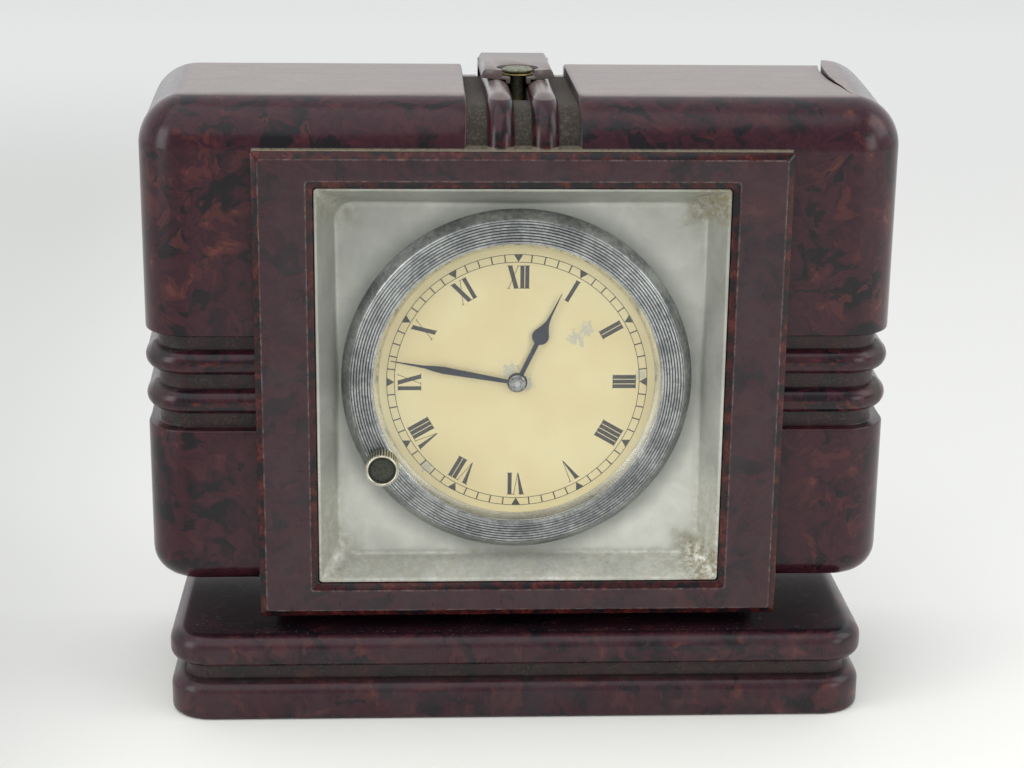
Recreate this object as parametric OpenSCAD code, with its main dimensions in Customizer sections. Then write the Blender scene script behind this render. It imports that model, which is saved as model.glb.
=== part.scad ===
// Table clock: a dashboard clock movement set in a moulded case on a two-tier plinth.
// Millimetres. +X is to the right of someone facing the dial, +Y goes back, +Z is up.
// The origin is on the table, under the middle of the clock.

/* [Case] */
// Width of the moulded case across its front corners
case_w = 164; // [160:0.5:170]
// Depth of the moulded case, from its front face to its open back
case_d = 56.8; // [56:0.1:58]
// Height of the underside of the case above the table
case_bottom = 29.2; // [28:0.1:29.5]
// Height of the top of the case above the table
case_top = 137.7; // [137:0.1:140]
// Radius that rounds the upright, top and side edges
edge_r = 11; // [10:0.5:12]
// Radius that rounds the lower edge of the case
foot_r = 7.5; // [3:0.5:8]
// How much each side leans outwards between its front corner and the open back
draft = 2.3; // [0.5:0.1:2.5]
// Thickness of the case walls
wall = 5; // [4.5:0.1:5.5]

/* [Side reeds] */
// Height above the table of the middle of the pair of reeds
reeds_z = 75.8; // [74:0.1:78]
// Radius of each half-round reed
reed_r = 2.8; // [2.5:0.1:3]
// Distance between the two reeds
reed_pitch = 8.8; // [8.4:0.1:9.5]
// Height of the sunk band that holds the reeds
reed_band = 21.2; // [20.5:0.1:22]
// Depth of the sunk band
reed_depth = 2.6; // [2.2:0.1:2.8]

/* [Top channel] */
// Width of the channel over the top of the case
channel_w = 24; // [22:0.5:26]
// Depth of the channel
channel_depth = 2.5; // [2.2:0.1:2.8]
// Radius of each of the two ribs in the channel
rib_r = 3; // [2.6:0.1:3.1]
// Distance from the middle to each rib
rib_x = 4.75; // [4.5:0.05:5]

/* [Front panel] */
// Width of the raised panel
panel_w = 114.9; // [113:0.1:117]
// Height of the raised panel
panel_h = 104.3; // [103:0.1:105]
// How far the panel stands forward of the case
panel_proud = 3.2; // [3:0.1:3.6]
// Thickness of the panel where it hangs below the case
apron_t = 5; // [4.5:0.1:6]
// Width of the shallow bevel round the panel and round its window
bevel_w = 1.6; // [1.2:0.1:2]
// Depth of that bevel
bevel_depth = 0.8; // [0.6:0.1:1]
// Width and height of the square window
window_w = 89; // [88:0.1:90]
// How far the rim of the tray lies behind that bevel
tray_set = 0.3; // [0.1:0.1:0.6]

/* [Plinth] */
// Width of the plinth
plinth_w = 156; // [154:0.5:158]
// Depth of the plinth
plinth_d = 64.5; // [64:0.1:66]
// Height of the plinth
plinth_h = 19.5; // [19:0.1:20]
// Radius of the plinth's upright corners
plinth_r = 11; // [7:0.5:12]
// Height of the lower tier
lower_tier = 8.8; // [8.4:0.1:9.2]
// Height of the groove between the tiers
groove_h = 3.6; // [3.2:0.1:4.6]
// Depth of the groove between the tiers
groove_depth = 3.5; // [3:0.1:4]
// Thickness of the plinth's walls and top
plinth_wall = 5; // [4.5:0.1:5.5]

/* [Clock] */
// Height of the dial's centre above the table
dial_z = 75; // [74.8:0.1:75.2]
// How far the dial's centre lies to the left of the middle of the window
dial_left = 0.6; // [0:0.1:1]
// How far the dial lies behind the face of the panel
dial_back = 8; // [7.8:0.1:8.2]
// How far the floor of the tray lies behind the dial
floor_back = 0.4; // [0.3:0.05:0.5]
// Half of the flat floor of the tray
floor_half = 40.3; // [40:0.1:41]
// Outer radius of the bezel's skirt
skirt_r = 38.6; // [38.4:0.1:39]
// Outer radius of the grooved face of the bezel
face_r = 36.5; // [36:0.1:36.8]
// Number of concentric grooves in the bezel
grooves = 7; // [5:1:8]
// Radius of the dial that can be seen through the reflector
sight_r = 30.1; // [30:0.1:30.4]
// Minute that the minute hand points to
shown_minute = 46.73; // [0:0.01:60]
// Angle of the hour hand, clockwise from twelve
hour_angle = 25.45; // [0:0.01:360]

/* [Wheel train] */
// Teeth of the barrel
barrel_teeth = 96;
// Leaves of the centre, third and fourth pinions
pinion_leaves = 8;
// Teeth of the centre wheel
centre_teeth = 64;
// Teeth of the third and fourth wheels
train_teeth = 60;
// Leaves of the escape pinion
escape_leaves = 6;
// Teeth of the escape wheel
escape_teeth = 15;
// Leaves of the cannon pinion
cannon_leaves = 12;
// Teeth of the minute wheel
minute_teeth = 36;
// Leaves of the minute wheel's pinion
minute_leaves = 10;
// Teeth of the hour wheel
hour_teeth = 40;

/* [Winding and setting] */
// Angle of the winding stem round the dial, anticlockwise from three o'clock
stem_angle = 211;
// Distance from the dial's centre to the winding stem
stem_r = 34.6; // [34.5:0.05:34.7]
// Radius of the knob
knob_r = 3.75; // [3.5:0.05:3.8]
// Teeth of the winding wheel
winding_teeth = 30;
// Teeth of the ratchet wheel
ratchet_teeth = 40;
// How far the knob pulls out to set the hands
knob_pull = 1.4; // [1.3:0.05:1.5]

/* [Back cover] */
// Thickness of the back cover
cover_t = 2.8; // [2.5:0.1:3]
// Half of the width of the tongue's flat top
tongue_half = 7.3; // [7:0.1:7.5]
// Distance from the tongue's nose back to the open back of the case
tongue_l = 30.5; // [27:0.1:31]
// Radius of the nose, seen from above
nose_r = 12; // [10:0.1:14]
// Height of the tongue's top above the top of the case
tongue_rise = 2.6; // [2.4:0.1:2.8]
// Radius of the cover screw's head
head_r = 3.5; // [3.3:0.05:3.55]

/* [Hidden] */

// Facets of a full circle, and of small ones
$fn = 96;
small_fn = 32;
// Overlap of a cutting shape past the face that it cuts
cut = 1;
// Radial clearance of a pivot in its hole
play = 0.05;

// Places along the depth
case_rear = plinth_d / 2;
case_front = case_rear - case_d;
panel_face = case_front - panel_proud;
dial_y = panel_face + dial_back;
inner_front = dial_y + floor_back;
tray_front = panel_face + bevel_depth + tray_set;
// The panel is centred on the dial's height
panel_bottom = dial_z - panel_h / 2;
panel_top = dial_z + panel_h / 2;

// The cavity of the case and the rebate that holds the back cover
cavity_half = case_w / 2 - wall;
cavity_bottom = case_bottom + wall - 0.7;
cavity_top = case_top - wall;
rebate = 2;
rebate_d = 3;
channel_floor = case_top - channel_depth;
// The neck joins the case to the plinth
neck_half = 55;
neck_front = case_front + 12.5;
neck_wall = 5;

// The cover screw stands between the ribs
screw_y = case_front + 31.8;
screw_r = 1.5;
insert_r = 3;
insert_top = case_top - 4.7;
insert_h = 6.5;
well_half = 1.95;
well_front = case_front + 16.6;
tongue_base = tongue_half + 0.9;
tongue_front = case_rear - tongue_l;
// The tongue rests on the ribs, and its keyhole lets it pull straight back past the slackened screw
tongue_under = channel_floor + rib_r + play;
counterbore_z = tongue_under + 0.5;
counterbore_r = 4.7;
keyhole_half = 3.65;
collar_z = counterbore_z + play;

// The plinth's screws, and the tray's
plinth_screw_x = 42;
plinth_screw_y = [0, 22];
tray_mouth = window_w / 2 - 0.15;
tray_rim = 0.6;
tray_t = 1.2;
tray_flange = [108, 2 * (dial_z - cavity_bottom) - 0.8];
tray_screw = [50.2, 30];

// The clock's layers, measured back from the face of the dial
glass_front = -2.75;
glass_t = 0.8;
glass_r = 32.9;
dial_t = 0.5;
can_r = 37.3;
can_wall = 0.6;
can_back = 21.5;
cap_t = 0.8;
clamp_stud_x = 22;
clamp_stud_r = 1.5;
stem_rod_r = 0.9;
plate_r = 36.6;
front_plate_y = 3;
plate_t = 1.5;
back_plate_y = 14.5;
winding_y = 16.4;
winding_t = 0.7;
bridge_y = 18.2;
bridge_t = 0.8;

// Sizes of the teeth, as millimetres of diameter per tooth
m_going = 0.25;
m_hour = 0.24;
m_third = 0.22;
m_fourth = 0.2;
m_winding = 0.4;

// Centres of the arbors, as [x, z] from the centre of the dial
function polar(r, a) = [r * cos(a), r * sin(a)];
function pair(m, a, b) = m * (a + b) / 2;
centre_p = [0, 0];
barrel_p = polar(pair(m_going, barrel_teeth, pinion_leaves), stem_angle);
third_p = polar(pair(m_going, centre_teeth, pinion_leaves), 70);
fourth_p = third_p + polar(pair(m_third, train_teeth, pinion_leaves), 0);
escape_p = fourth_p + polar(pair(m_fourth, train_teeth, escape_leaves), -80);
escape_r = 4.5;
// Two and a half teeth lie between the pallets, so the lever's pivot is where tangents at 30 degrees meet
pallet_dir = -60;
pallet_p = escape_p + polar(escape_r / cos(30), pallet_dir);
balance_p = pallet_p + polar(6, pallet_dir);
stem_p = polar(stem_r, stem_angle);
yoke_p = stem_p + polar(4.6, stem_angle + 90);
winding_p = barrel_p + polar(pair(m_winding, ratchet_teeth, winding_teeth), stem_angle);
minute_p = polar(pair(m_going, cannon_leaves, minute_teeth), stem_angle);
stem_leaves = 8;
inner_teeth = 47;
outer_teeth = 46;
// The outer setting wheel meshes with the pulled-out stem, and the inner one with it and the minute wheel
outer_p = stem_p + polar(pair(m_going, outer_teeth, stem_leaves), stem_angle + 180);
inner_gap = norm(outer_p - minute_p);
inner_reach = pair(m_going, minute_teeth, inner_teeth);
outer_reach = pair(m_going, inner_teeth, outer_teeth);
inner_bend = acos((inner_gap ^ 2 + inner_reach ^ 2 - outer_reach ^ 2) / (2 * inner_gap * inner_reach));
inner_p = minute_p + polar(inner_reach, direction(minute_p, outer_p) + inner_bend);

function direction(a, b) = atan2(b[1] - a[1], b[0] - a[0]);
// Angle of a wheel at b whose teeth fit the gaps of the wheel at a, which stands at turn_a
function meshed(teeth_a, turn_a, a, b, teeth_b) =
    direction(a, b) + 180 + (0.5 - teeth_a * (turn_a - direction(a, b)) / 360) * 360 / teeth_b;

cannon_turn = 0;
minute_turn = meshed(cannon_leaves, cannon_turn, centre_p, minute_p, minute_teeth);
minute_pinion_turn = 0;
hour_turn = meshed(minute_leaves, minute_pinion_turn, minute_p, centre_p, hour_teeth);
inner_turn = meshed(minute_teeth, minute_turn, minute_p, inner_p, inner_teeth);
outer_turn = meshed(inner_teeth, inner_turn, inner_p, outer_p, outer_teeth);
setting_turn = meshed(outer_teeth, outer_turn, outer_p, stem_p, stem_leaves);
barrel_turn = meshed(pinion_leaves, 0, centre_p, barrel_p, barrel_teeth);
third_turn = meshed(centre_teeth, 0, centre_p, third_p, pinion_leaves);
fourth_turn = meshed(train_teeth, 0, third_p, fourth_p, pinion_leaves);
escape_turn = meshed(train_teeth, 0, fourth_p, escape_p, escape_leaves);
ratchet_turn = 0;
winding_turn = meshed(ratchet_teeth, ratchet_turn, barrel_p, winding_p, winding_teeth);
stem_turn = meshed(winding_teeth, winding_turn, winding_p, stem_p, stem_leaves);

// Shapes shared by the pieces

// A rectangle with rounded corners, centred
module rounded(w, h, r) {
    square([w - 2 * r, h], center = true);
    square([w, h - 2 * r], center = true);
    for (x = [-1, 1], y = [-1, 1])
        translate([x * (w / 2 - r), y * (h / 2 - r)]) circle(r);
}

// Sweeps a section round a block: the section runs outwards from the centre of the corner's radius r
module swept_block(w, d, r, bottom, top) {
    for (x = [-1, 1], y = [-1, 1])
        translate([x * (w / 2 - r), y * (d / 2 - r), 0]) rotate_extrude() children();
    for (turn = [0:90:270]) {
        across = turn % 180 == 0 ? w : d;
        along = turn % 180 == 0 ? d : w;
        rotate(turn) translate([across / 2 - r, 0, 0])
            rotate([90, 0, 0]) linear_extrude(along - 2 * r, center = true) children();
    }
    translate([-w / 2 + r, -d / 2 + r, bottom]) cube([w - 2 * r, d - 2 * r, top - bottom]);
}

// Moves a shape to the middle of the dial
module in_clock() {
    translate([-dial_left, dial_y, dial_z]) children();
}

// Gives a flat shape, seen from the front, a thickness t that starts y behind the dial at the point p
module layer(p, y, t) {
    translate([p[0], y + t, p[1]]) rotate([90, 0, 0]) linear_extrude(t) children();
}

// Turns a section of [radius, depth behind the dial] points round the line through the point p
module turned(points, p = [0, 0], facets = $fn) {
    translate([p[0], 0, p[1]]) rotate([90, 0, 0])
        rotate_extrude($fn = facets) polygon([for (q = points) [q[0], -q[1]]]);
}

// A round bar through the point p, from depth y0 to y1
module bar(p, r, y0, y1, facets = small_fn) {
    translate([p[0], y1, p[1]]) rotate([90, 0, 0]) cylinder(r = r, h = y1 - y0, $fn = facets);
}

// Outline of a toothed wheel: straight-flanked teeth, narrow enough to run with play
module teeth(count, m, turn = 0, tip = 0.11, root = 0.25) {
    step = 360 / count;
    outer = m * count / 2 + 0.8 * m;
    inner = m * count / 2 - 1.15 * m;
    polygon([for (i = [0:count - 1], c = [[inner, -root], [outer, -tip], [outer, tip], [inner, root]])
        polar(c[0], turn + (i + c[1]) * step)]);
}

// A crossed-out wheel with five arms
module spoked(count, m, turn, rim, hub) {
    inner = m * count / 2 - 1.15 * m - rim;
    difference() {
        teeth(count, m, turn);
        difference() {
            circle(inner);
            circle(hub, $fn = small_fn);
            for (i = [0:4]) rotate(turn + i * 72) translate([0, -0.4]) square([inner + cut, 0.8]);
        }
    }
}

// An arbor with its pivots in both plates
module arbor(p, r, pivot_r) {
    front = front_plate_y + plate_t;
    bar(p, pivot_r, front - plate_t + 0.2, back_plate_y + plate_t - 0.2);
    bar(p, r, front + 0.2, back_plate_y - 0.2);
}

// The case

// Half of the upright section of the case, from the centre of its edge radius outwards
module case_section(inset = 0) {
    r = edge_r - inset;
    difference() {
        union() {
            translate([0, case_bottom + foot_r]) square([r, case_top - edge_r - case_bottom - foot_r]);
            translate([0, case_bottom + inset]) square([edge_r - foot_r, foot_r]);
            intersection() {
                translate([edge_r - foot_r, case_bottom + foot_r]) circle(foot_r - inset);
                translate([edge_r - foot_r, case_bottom]) square([foot_r + cut, foot_r]);
            }
            intersection() {
                translate([0, case_top - edge_r]) circle(r);
                translate([0, case_top - edge_r]) square(r + cut);
            }
        }
        translate([edge_r - reed_depth, reeds_z - reed_band / 2]) square([reed_depth + cut, reed_band]);
    }
    for (side = [-1, 1]) translate([edge_r - reed_depth, reeds_z + side * reed_pitch / 2]) circle(reed_r);
}

// The outside of the case, open at the back: one section runs along the front, turns round both
// corners and goes back along the sides, which lean outwards from just behind the corners
module case_block() {
    turn_y = case_front + edge_r + 4;
    lean = atan(draft / (case_rear - turn_y));
    run = (case_rear - turn_y + 6) / cos(lean);
    difference() {
        union() {
            translate([0, case_rear, 0])
                swept_block(case_w, 2 * case_d, edge_r, case_bottom, case_top) case_section();
            for (side = [-1, 1]) translate([side * (case_w / 2 - edge_r), turn_y, 0])
                rotate(side > 0 ? -lean : 180 + lean) translate([0, side > 0 ? run : 3, 0]) rotate([90, 0, 0])
                    linear_extrude(run + 3) {
                        case_section();
                        translate([-edge_r, case_bottom]) square([edge_r, case_top - case_bottom]);
                    }
        }
        translate([-case_w, case_rear, 0]) cube([2 * case_w, 2 * case_d, 2 * case_top]);
    }
}

// What the channel takes away from the top and the front of the case
module channel_cut() {
    r = edge_r - channel_depth;
    low = panel_top - 2 * cut;
    translate([-channel_w / 2, 0, 0]) rotate([90, 0, 90]) linear_extrude(channel_w) difference() {
        translate([case_front - cut, low + cut]) square([case_d + 2 * cut, case_top - low]);
        translate([case_front + edge_r, low]) square([case_d, channel_floor - low]);
        translate([case_front + channel_depth, low])
            square([edge_r, case_top - edge_r - panel_top + 2 * cut]);
        translate([case_front + edge_r, case_top - edge_r]) circle(r);
    }
}

// A half-round rib that climbs the front, turns over the edge and runs back
module top_rib() {
    axis_y = case_front + channel_depth;
    bend_z = case_top - edge_r;
    translate([0, axis_y, panel_top - cut])
        cylinder(r = rib_r, h = bend_z - panel_top + cut, $fn = small_fn);
    translate([0, case_front + edge_r, bend_z]) rotate([0, -90, 0]) rotate_extrude()
        translate([edge_r - channel_depth, 0]) circle(rib_r, $fn = small_fn);
    translate([0, case_rear - rebate_d, channel_floor]) rotate([90, 0, 0])
        cylinder(r = rib_r, h = case_d - rebate_d - edge_r, $fn = small_fn);
}

// A plate whose front edges are bevelled, with its front face at y = 0
module bevelled_plate(w, h, t) {
    edge = [[-1, 0], [1, 0]];
    intersection() {
        translate([0, 0, -h / 2]) linear_extrude(h) polygon([[-w / 2, t], [-w / 2, bevel_depth],
            [-w / 2 + bevel_w, 0], [w / 2 - bevel_w, 0], [w / 2, bevel_depth], [w / 2, t]]);
        translate([-w / 2, 0, 0]) rotate([90, 0, 90]) linear_extrude(w)
            polygon([[t, -h / 2], [bevel_depth, -h / 2], [0, -h / 2 + bevel_w], [0, h / 2 - bevel_w],
                [bevel_depth, h / 2], [t, h / 2]]);
    }
}

// The square window, which widens towards the front
module window_cut() {
    half = window_w / 2;
    slope = bevel_w / bevel_depth;
    flare = half + bevel_w + cut * slope;
    profile = [[-flare, -cut], [flare, -cut], [half, bevel_depth], [-half, bevel_depth]];
    intersection() {
        translate([0, 0, -flare]) linear_extrude(2 * flare) polygon(profile);
        translate([-flare, 0, 0]) rotate([90, 0, 90]) linear_extrude(2 * flare)
            polygon([for (q = profile) [q[1], q[0]]]);
    }
    translate([-half, 0, -half]) cube([window_w, dial_back + floor_back + cut, window_w]);
}

module front_shell() {
    color("#3a1216") difference() {
        union() {
            difference() {
                case_block();
                channel_cut();
            }
            for (x = [-rib_x, rib_x]) translate([x, 0, 0]) intersection() {
                top_rib();
                translate([-rib_r, case_front - cut, panel_top]) cube([2 * rib_r, case_d, case_top]);
            }
            translate([0, panel_face, dial_z]) bevelled_plate(panel_w, panel_h, apron_t);
            translate([-neck_half, neck_front, plinth_h])
                cube([2 * neck_half, case_rear - neck_front, case_bottom - plinth_h + cut]);
        }
        // Cavity, with its rounded corners, down to the floor of the case
        difference() {
            translate([0, case_rear + cut, (cavity_bottom + cavity_top) / 2]) rotate([90, 0, 0])
                linear_extrude(case_rear + cut - inner_front)
                    rounded(2 * cavity_half, cavity_top - cavity_bottom, edge_r - wall);
            // Boss under the channel, which holds the brass insert
            translate([0, screw_y, insert_top - insert_h - cut])
                cylinder(r = insert_r + 3, h = wall + insert_h);
            translate([-6, well_front - 3, insert_top - 3]) cube([12, screw_y - well_front + 3, wall + 3]);
        }
        // Hollow neck
        translate([-neck_half + neck_wall, neck_front + neck_wall, plinth_h + neck_wall])
            cube([2 * (neck_half - neck_wall), case_rear - neck_front - 2 * neck_wall, case_bottom]
                - [0, 0, plinth_h - cut]);
        // Rebate for the back cover, and the notch that lets its tongue out
        translate([-cavity_half - rebate, case_rear - rebate_d, cavity_bottom - rebate])
            cube([2 * (cavity_half + rebate), rebate_d + cut, cavity_top - cavity_bottom + 2 * rebate]);
        translate([-tongue_base - 0.3, case_rear - rebate_d, cavity_top])
            cube([2 * (tongue_base + 0.3), rebate_d + cut, 2 * wall]);
        translate([0, panel_face, dial_z]) window_cut();
        // Well between the ribs and the seat of the insert
        translate([0, 0, insert_top]) linear_extrude(wall) {
            translate([-well_half, well_front]) square([2 * well_half, screw_y - well_front]);
            translate([0, screw_y]) circle(well_half, $fn = small_fn);
        }
        translate([0, screw_y, insert_top - insert_h]) cylinder(r = insert_r, h = insert_h, $fn = small_fn);
        // Blind holes for the screws of the plinth and of the tray
        for (x = [-1, 1], y = plinth_screw_y) translate([x * plinth_screw_x, y, plinth_h - cut])
            cylinder(r = screw_r, h = neck_wall - 1 + cut, $fn = small_fn);
        for (x = [-1, 1], z = [-1, 1]) translate([0, inner_front, dial_z])
            bar([x * tray_screw[0], z * tray_screw[1]], 1.25, -4, cut);
    }
}

// The plinth

// Section of the plinth's edge, from the centre of the corner's radius outwards
module plinth_section() {
    upper = lower_tier + groove_h;
    nose = 3.1;
    lip = 2.2;
    toe = 1;
    square([plinth_r - groove_depth, plinth_h]);
    difference() {
        square([plinth_r, lower_tier]);
        translate([plinth_r - nose, lower_tier - nose]) square(nose + cut);
        translate([plinth_r - toe, -cut]) square([toe + cut, toe + cut]);
    }
    translate([plinth_r - nose, lower_tier - nose]) circle(nose);
    translate([plinth_r - toe, toe]) circle(toe);
    difference() {
        translate([0, upper]) square([plinth_r, plinth_h - upper]);
        translate([plinth_r - nose, plinth_h - nose]) square(nose + cut);
        translate([plinth_r - lip, upper - cut]) square([lip + cut, lip + cut]);
    }
    translate([plinth_r - nose, plinth_h - nose]) circle(nose);
    translate([plinth_r - lip, upper + lip]) circle(lip);
}

module plinth() {
    inset = groove_depth + 3;
    color("#3a1216") difference() {
        swept_block(plinth_w, plinth_d, plinth_r, 0, plinth_h) plinth_section();
        translate([0, 0, -cut]) linear_extrude(plinth_h - plinth_wall + cut)
            rounded(plinth_w - 2 * inset, plinth_d - 2 * inset, 3);
        for (x = [-1, 1], y = plinth_screw_y) translate([x * plinth_screw_x, y, 0])
            cylinder(r = screw_r + 0.2, h = plinth_h + cut, $fn = small_fn);
    }
}

module plinth_screws() {
    head = 3;
    color("#8d8a80") for (x = [-1, 1], y = plinth_screw_y)
        translate([x * plinth_screw_x, y, plinth_h - plinth_wall]) {
            cylinder(r = screw_r, h = plinth_wall + neck_wall - 1.5, $fn = small_fn);
            difference() {
                translate([0, 0, -1.8]) cylinder(r = head, h = 1.8, $fn = small_fn);
                translate([-head - cut, -0.4, -1.8 - cut]) cube([2 * head + 2 * cut, 0.8, cut + 0.9]);
            }
        }
}

// The window's tray and the outside of the clock

// A square funnel that narrows and rounds from the tray's mouth to its floor
module funnel(spread, y0, y1) {
    function half(y) = let (s = (y - tray_front) / (inner_front - tray_front))
        tray_mouth - tray_rim + (floor_half - tray_mouth + tray_rim) * s + spread;
    hull() for (end = [[y0, 1.5], [y1, 4.5]], x = [-1, 1], z = [-1, 1])
        bar([x * (half(end[0]) - end[1]), z * (half(end[0]) - end[1])], end[1], end[0], end[0] + 0.01);
}

// Pressed tray, with a flange on the inside of the case
module tray() {
    color("#b9bab6") difference() {
        translate([0, 0, dial_z]) union() {
            funnel(tray_rim, tray_front, inner_front + tray_t / 2);
            translate([0, inner_front + tray_t, 0]) rotate([90, 0, 0]) linear_extrude(tray_t)
                rounded(tray_flange[0], tray_flange[1], 3);
        }
        translate([0, 0, dial_z]) funnel(0, tray_front - 0.5, inner_front - 0.01);
        in_clock() bar([0, 0], can_r + 0.2, -cut, 2 * tray_t, $fn);
        for (x = [-1, 1], z = [-1, 1]) translate([0, inner_front, dial_z])
            bar([x * tray_screw[0], z * tray_screw[1]], 1.4, -cut, tray_t + cut);
    }
}

module tray_screws() {
    head = [[0, tray_t], [2.4, tray_t], [2.4, tray_t + 0.7], [1.2, tray_t + 1.5], [0, tray_t + 1.5]];
    color("#b08f4a") translate([0, inner_front, dial_z]) for (x = [-1, 1], z = [-1, 1])
        translate([x * tray_screw[0], 0, z * tray_screw[1]]) difference() {
            union() {
                bar([0, 0], 1.25, -3.5, tray_t);
                turned(head, facets = small_fn);
            }
            translate([-3, tray_t + 0.8, -0.3]) cube([6, 2, 0.6]);
        }
}

// Cast ring: a conical skirt, a face of fine concentric grooves and a lip over the glass
module bezel() {
    lip_r = 31.6;
    seat_r = 33.05;
    inner_r = 32.2;
    face_inner = -3.3;
    face_outer = -2.8;
    pitch = (face_r - inner_r) / grooves;
    depth = 0.28;
    function face_y(r) = face_inner + (r - inner_r) / (face_r - inner_r) * (face_outer - face_inner);
    ridges = [for (i = [0:grooves - 1], c = [[0, 0], [0.22, depth], [0.78, depth]])
        let (r = inner_r + (i + c[0]) * pitch) [r, face_y(r) + c[1]]];
    color("#8d9092") in_clock() difference() {
        turned(concat([[lip_r, glass_front], [lip_r, face_inner + 0.1]], ridges,
            [[face_r, face_outer], [face_r + 0.35, face_outer + 0.35], [skirt_r, floor_back],
            [seat_r, floor_back], [seat_r, glass_front]]), facets = 128);
        bar(stem_p, stem_rod_r + play, -5, 1);
    }
}

module glass() {
    color("#dfe8e8", 0.3) in_clock() turned([[0, glass_front], [glass_r, glass_front],
        [glass_r, glass_front + glass_t], [0, glass_front + glass_t]]);
}

// Polished cone between the glass and the dial
module reflector() {
    front = glass_front + glass_t;
    color("#cfcfc8") in_clock()
        turned([[31.6, front], [sight_r, -0.25], [sight_r, 0], [glass_r, 0], [glass_r, front]]);
}

module dial() {
    color("#e5d8a2") in_clock() difference() {
        union() {
            turned([[0, 0], [32.9, 0], [32.9, dial_t], [0, dial_t]]);
            for (a = [70, 250]) bar(polar(26, a), 0.6, dial_t, front_plate_y);
        }
        bar(centre_p, 2, -cut, dial_t + cut);
    }
}

// Spun can that holds the movement, with a turned-in front edge
module clock_can() {
    inner = can_r - can_wall;
    color("#a98f55") in_clock()
        turned([[inner, floor_back], [can_r, floor_back], [can_r, can_back], [inner, can_back]]);
}

module can_cap() {
    outer = can_r - can_wall - 2 * play;
    inner = outer - 0.5;
    edge = can_back + cap_t;
    color("#a98f55") in_clock() difference() {
        union() {
            turned([[0, can_back], [can_r, can_back], [can_r, edge], [can_r - 1.5, edge],
                [can_r - 2.5, edge + 0.5], [0, edge + 0.5]]);
            turned([[inner, can_back - 1.5], [outer, can_back - 1.5], [outer, can_back], [inner, can_back]]);
        }
        for (x = [-1, 1]) bar([x * clamp_stud_x, 0], clamp_stud_r, can_back - cut, can_back + 3);
    }
}

module clamp_studs() {
    color("#8f9498") in_clock() for (x = [-1, 1]) {
        bar([x * clamp_stud_x, 0], clamp_stud_r + 0.8, can_back - 0.7, can_back);
        bar([x * clamp_stud_x, 0], clamp_stud_r, can_back, can_back + 12);
    }
}

// U-shaped strap that draws the clock against the tray
module clamp_bridge() {
    top = can_back + 4.5;
    t = 1.6;
    half = can_r + 5;
    foot = floor_back + tray_t;
    color("#8f9498") in_clock() difference() {
        translate([0, 0, -6]) linear_extrude(12) union() {
            translate([-half, foot]) square([t, top - foot]);
            translate([half - t, foot]) square([t, top - foot]);
            translate([-half, top - t]) square([2 * half, t]);
            translate([-half - 5, foot]) square([5 + t, t]);
            translate([half - t, foot]) square([5 + t, t]);
        }
        for (x = [-1, 1]) bar([x * clamp_stud_x, 0], clamp_stud_r + 0.2, can_back, top + cut);
    }
}

// Round nuts with a notched rim
module clamp_nuts() {
    top = can_back + 4.5;
    color("#b08f4a") in_clock() for (x = [-1, 1]) layer([x * clamp_stud_x, 0], top, 3.5) difference() {
        teeth(24, 0.3, 0, 0.2, 0.3);
        circle(clamp_stud_r, $fn = small_fn);
    }
}

module cover_insert() {
    color("#b08f4a") translate([0, screw_y, insert_top - insert_h]) difference() {
        cylinder(r = insert_r, h = insert_h, $fn = small_fn);
        translate([0, 0, -cut]) cylinder(r = screw_r + play, h = insert_h + 2 * cut, $fn = small_fn);
    }
}

// The movement's frame

// Places of the four pillars
pillar_r = 32.5;
pillar_angles = [28, 120, 250, 325];
pivot_r = 0.3;
balance_pivot_r = 0.2;

// Holes that both plates share
module pivot_holes(y0, y1) {
    for (p = [third_p, fourth_p, escape_p]) bar(p, pivot_r + play, y0, y1);
    bar(balance_p, balance_pivot_r + play, y0, y1);
    bar(barrel_p, 1.2 + play, y0, y1);
    bar(centre_p, 0.9 + play, y0, y1);
}

module front_plate() {
    color("#c6a65a") in_clock() difference() {
        bar(centre_p, plate_r, front_plate_y, front_plate_y + plate_t, $fn);
        pivot_holes(front_plate_y - cut, front_plate_y + plate_t + cut);
        bar(pallet_p, pivot_r + play, front_plate_y - cut, front_plate_y + plate_t + cut);
        bar(stem_p, 1.45, front_plate_y - cut, front_plate_y + plate_t + cut);
    }
}

module back_plate() {
    y1 = back_plate_y + plate_t;
    color("#c6a65a") in_clock() difference() {
        bar(centre_p, plate_r, back_plate_y, y1, $fn);
        pivot_holes(back_plate_y - cut, y1 + cut);
        bar(yoke_p, 0.65, back_plate_y - cut, y1 + cut);
        // The winding pinion slides through an open notch
        layer(stem_p, back_plate_y - cut, plate_t + 2 * cut) rotate(stem_angle) {
            circle(2.25, $fn = small_fn);
            translate([0, -2.25]) square(4.5);
        }
    }
}

module pillars() {
    color("#c6a65a") in_clock() for (a = pillar_angles)
        turned([[0, 4.5], [2, 4.5], [2, 6], [1.5, 6.6], [1.5, 12.4], [2, 13], [2, 14.5], [0, 14.5]],
            polar(pillar_r, a), small_fn);
}

module plate_screws() {
    y = back_plate_y + plate_t;
    color("#45506b") in_clock() for (a = pillar_angles) difference() {
        bar(polar(pillar_r, a), 1.8, y, y + 1.1);
        layer(polar(pillar_r, a), y + 0.6, 1) rotate(a) square([5, 0.5], center = true);
    }
}

// Studs that carry the motion work, the setting wheels and the winding wheel
module wheel_studs() {
    color("#9b9d9c") in_clock() {
        for (p = [minute_p, inner_p, outer_p]) bar(p, 0.6, 0.7, front_plate_y);
        bar(winding_p, 1, back_plate_y + plate_t, bridge_y);
        bar(click_p, 0.8, back_plate_y + plate_t, bridge_y - 0.5);
    }
}

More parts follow.
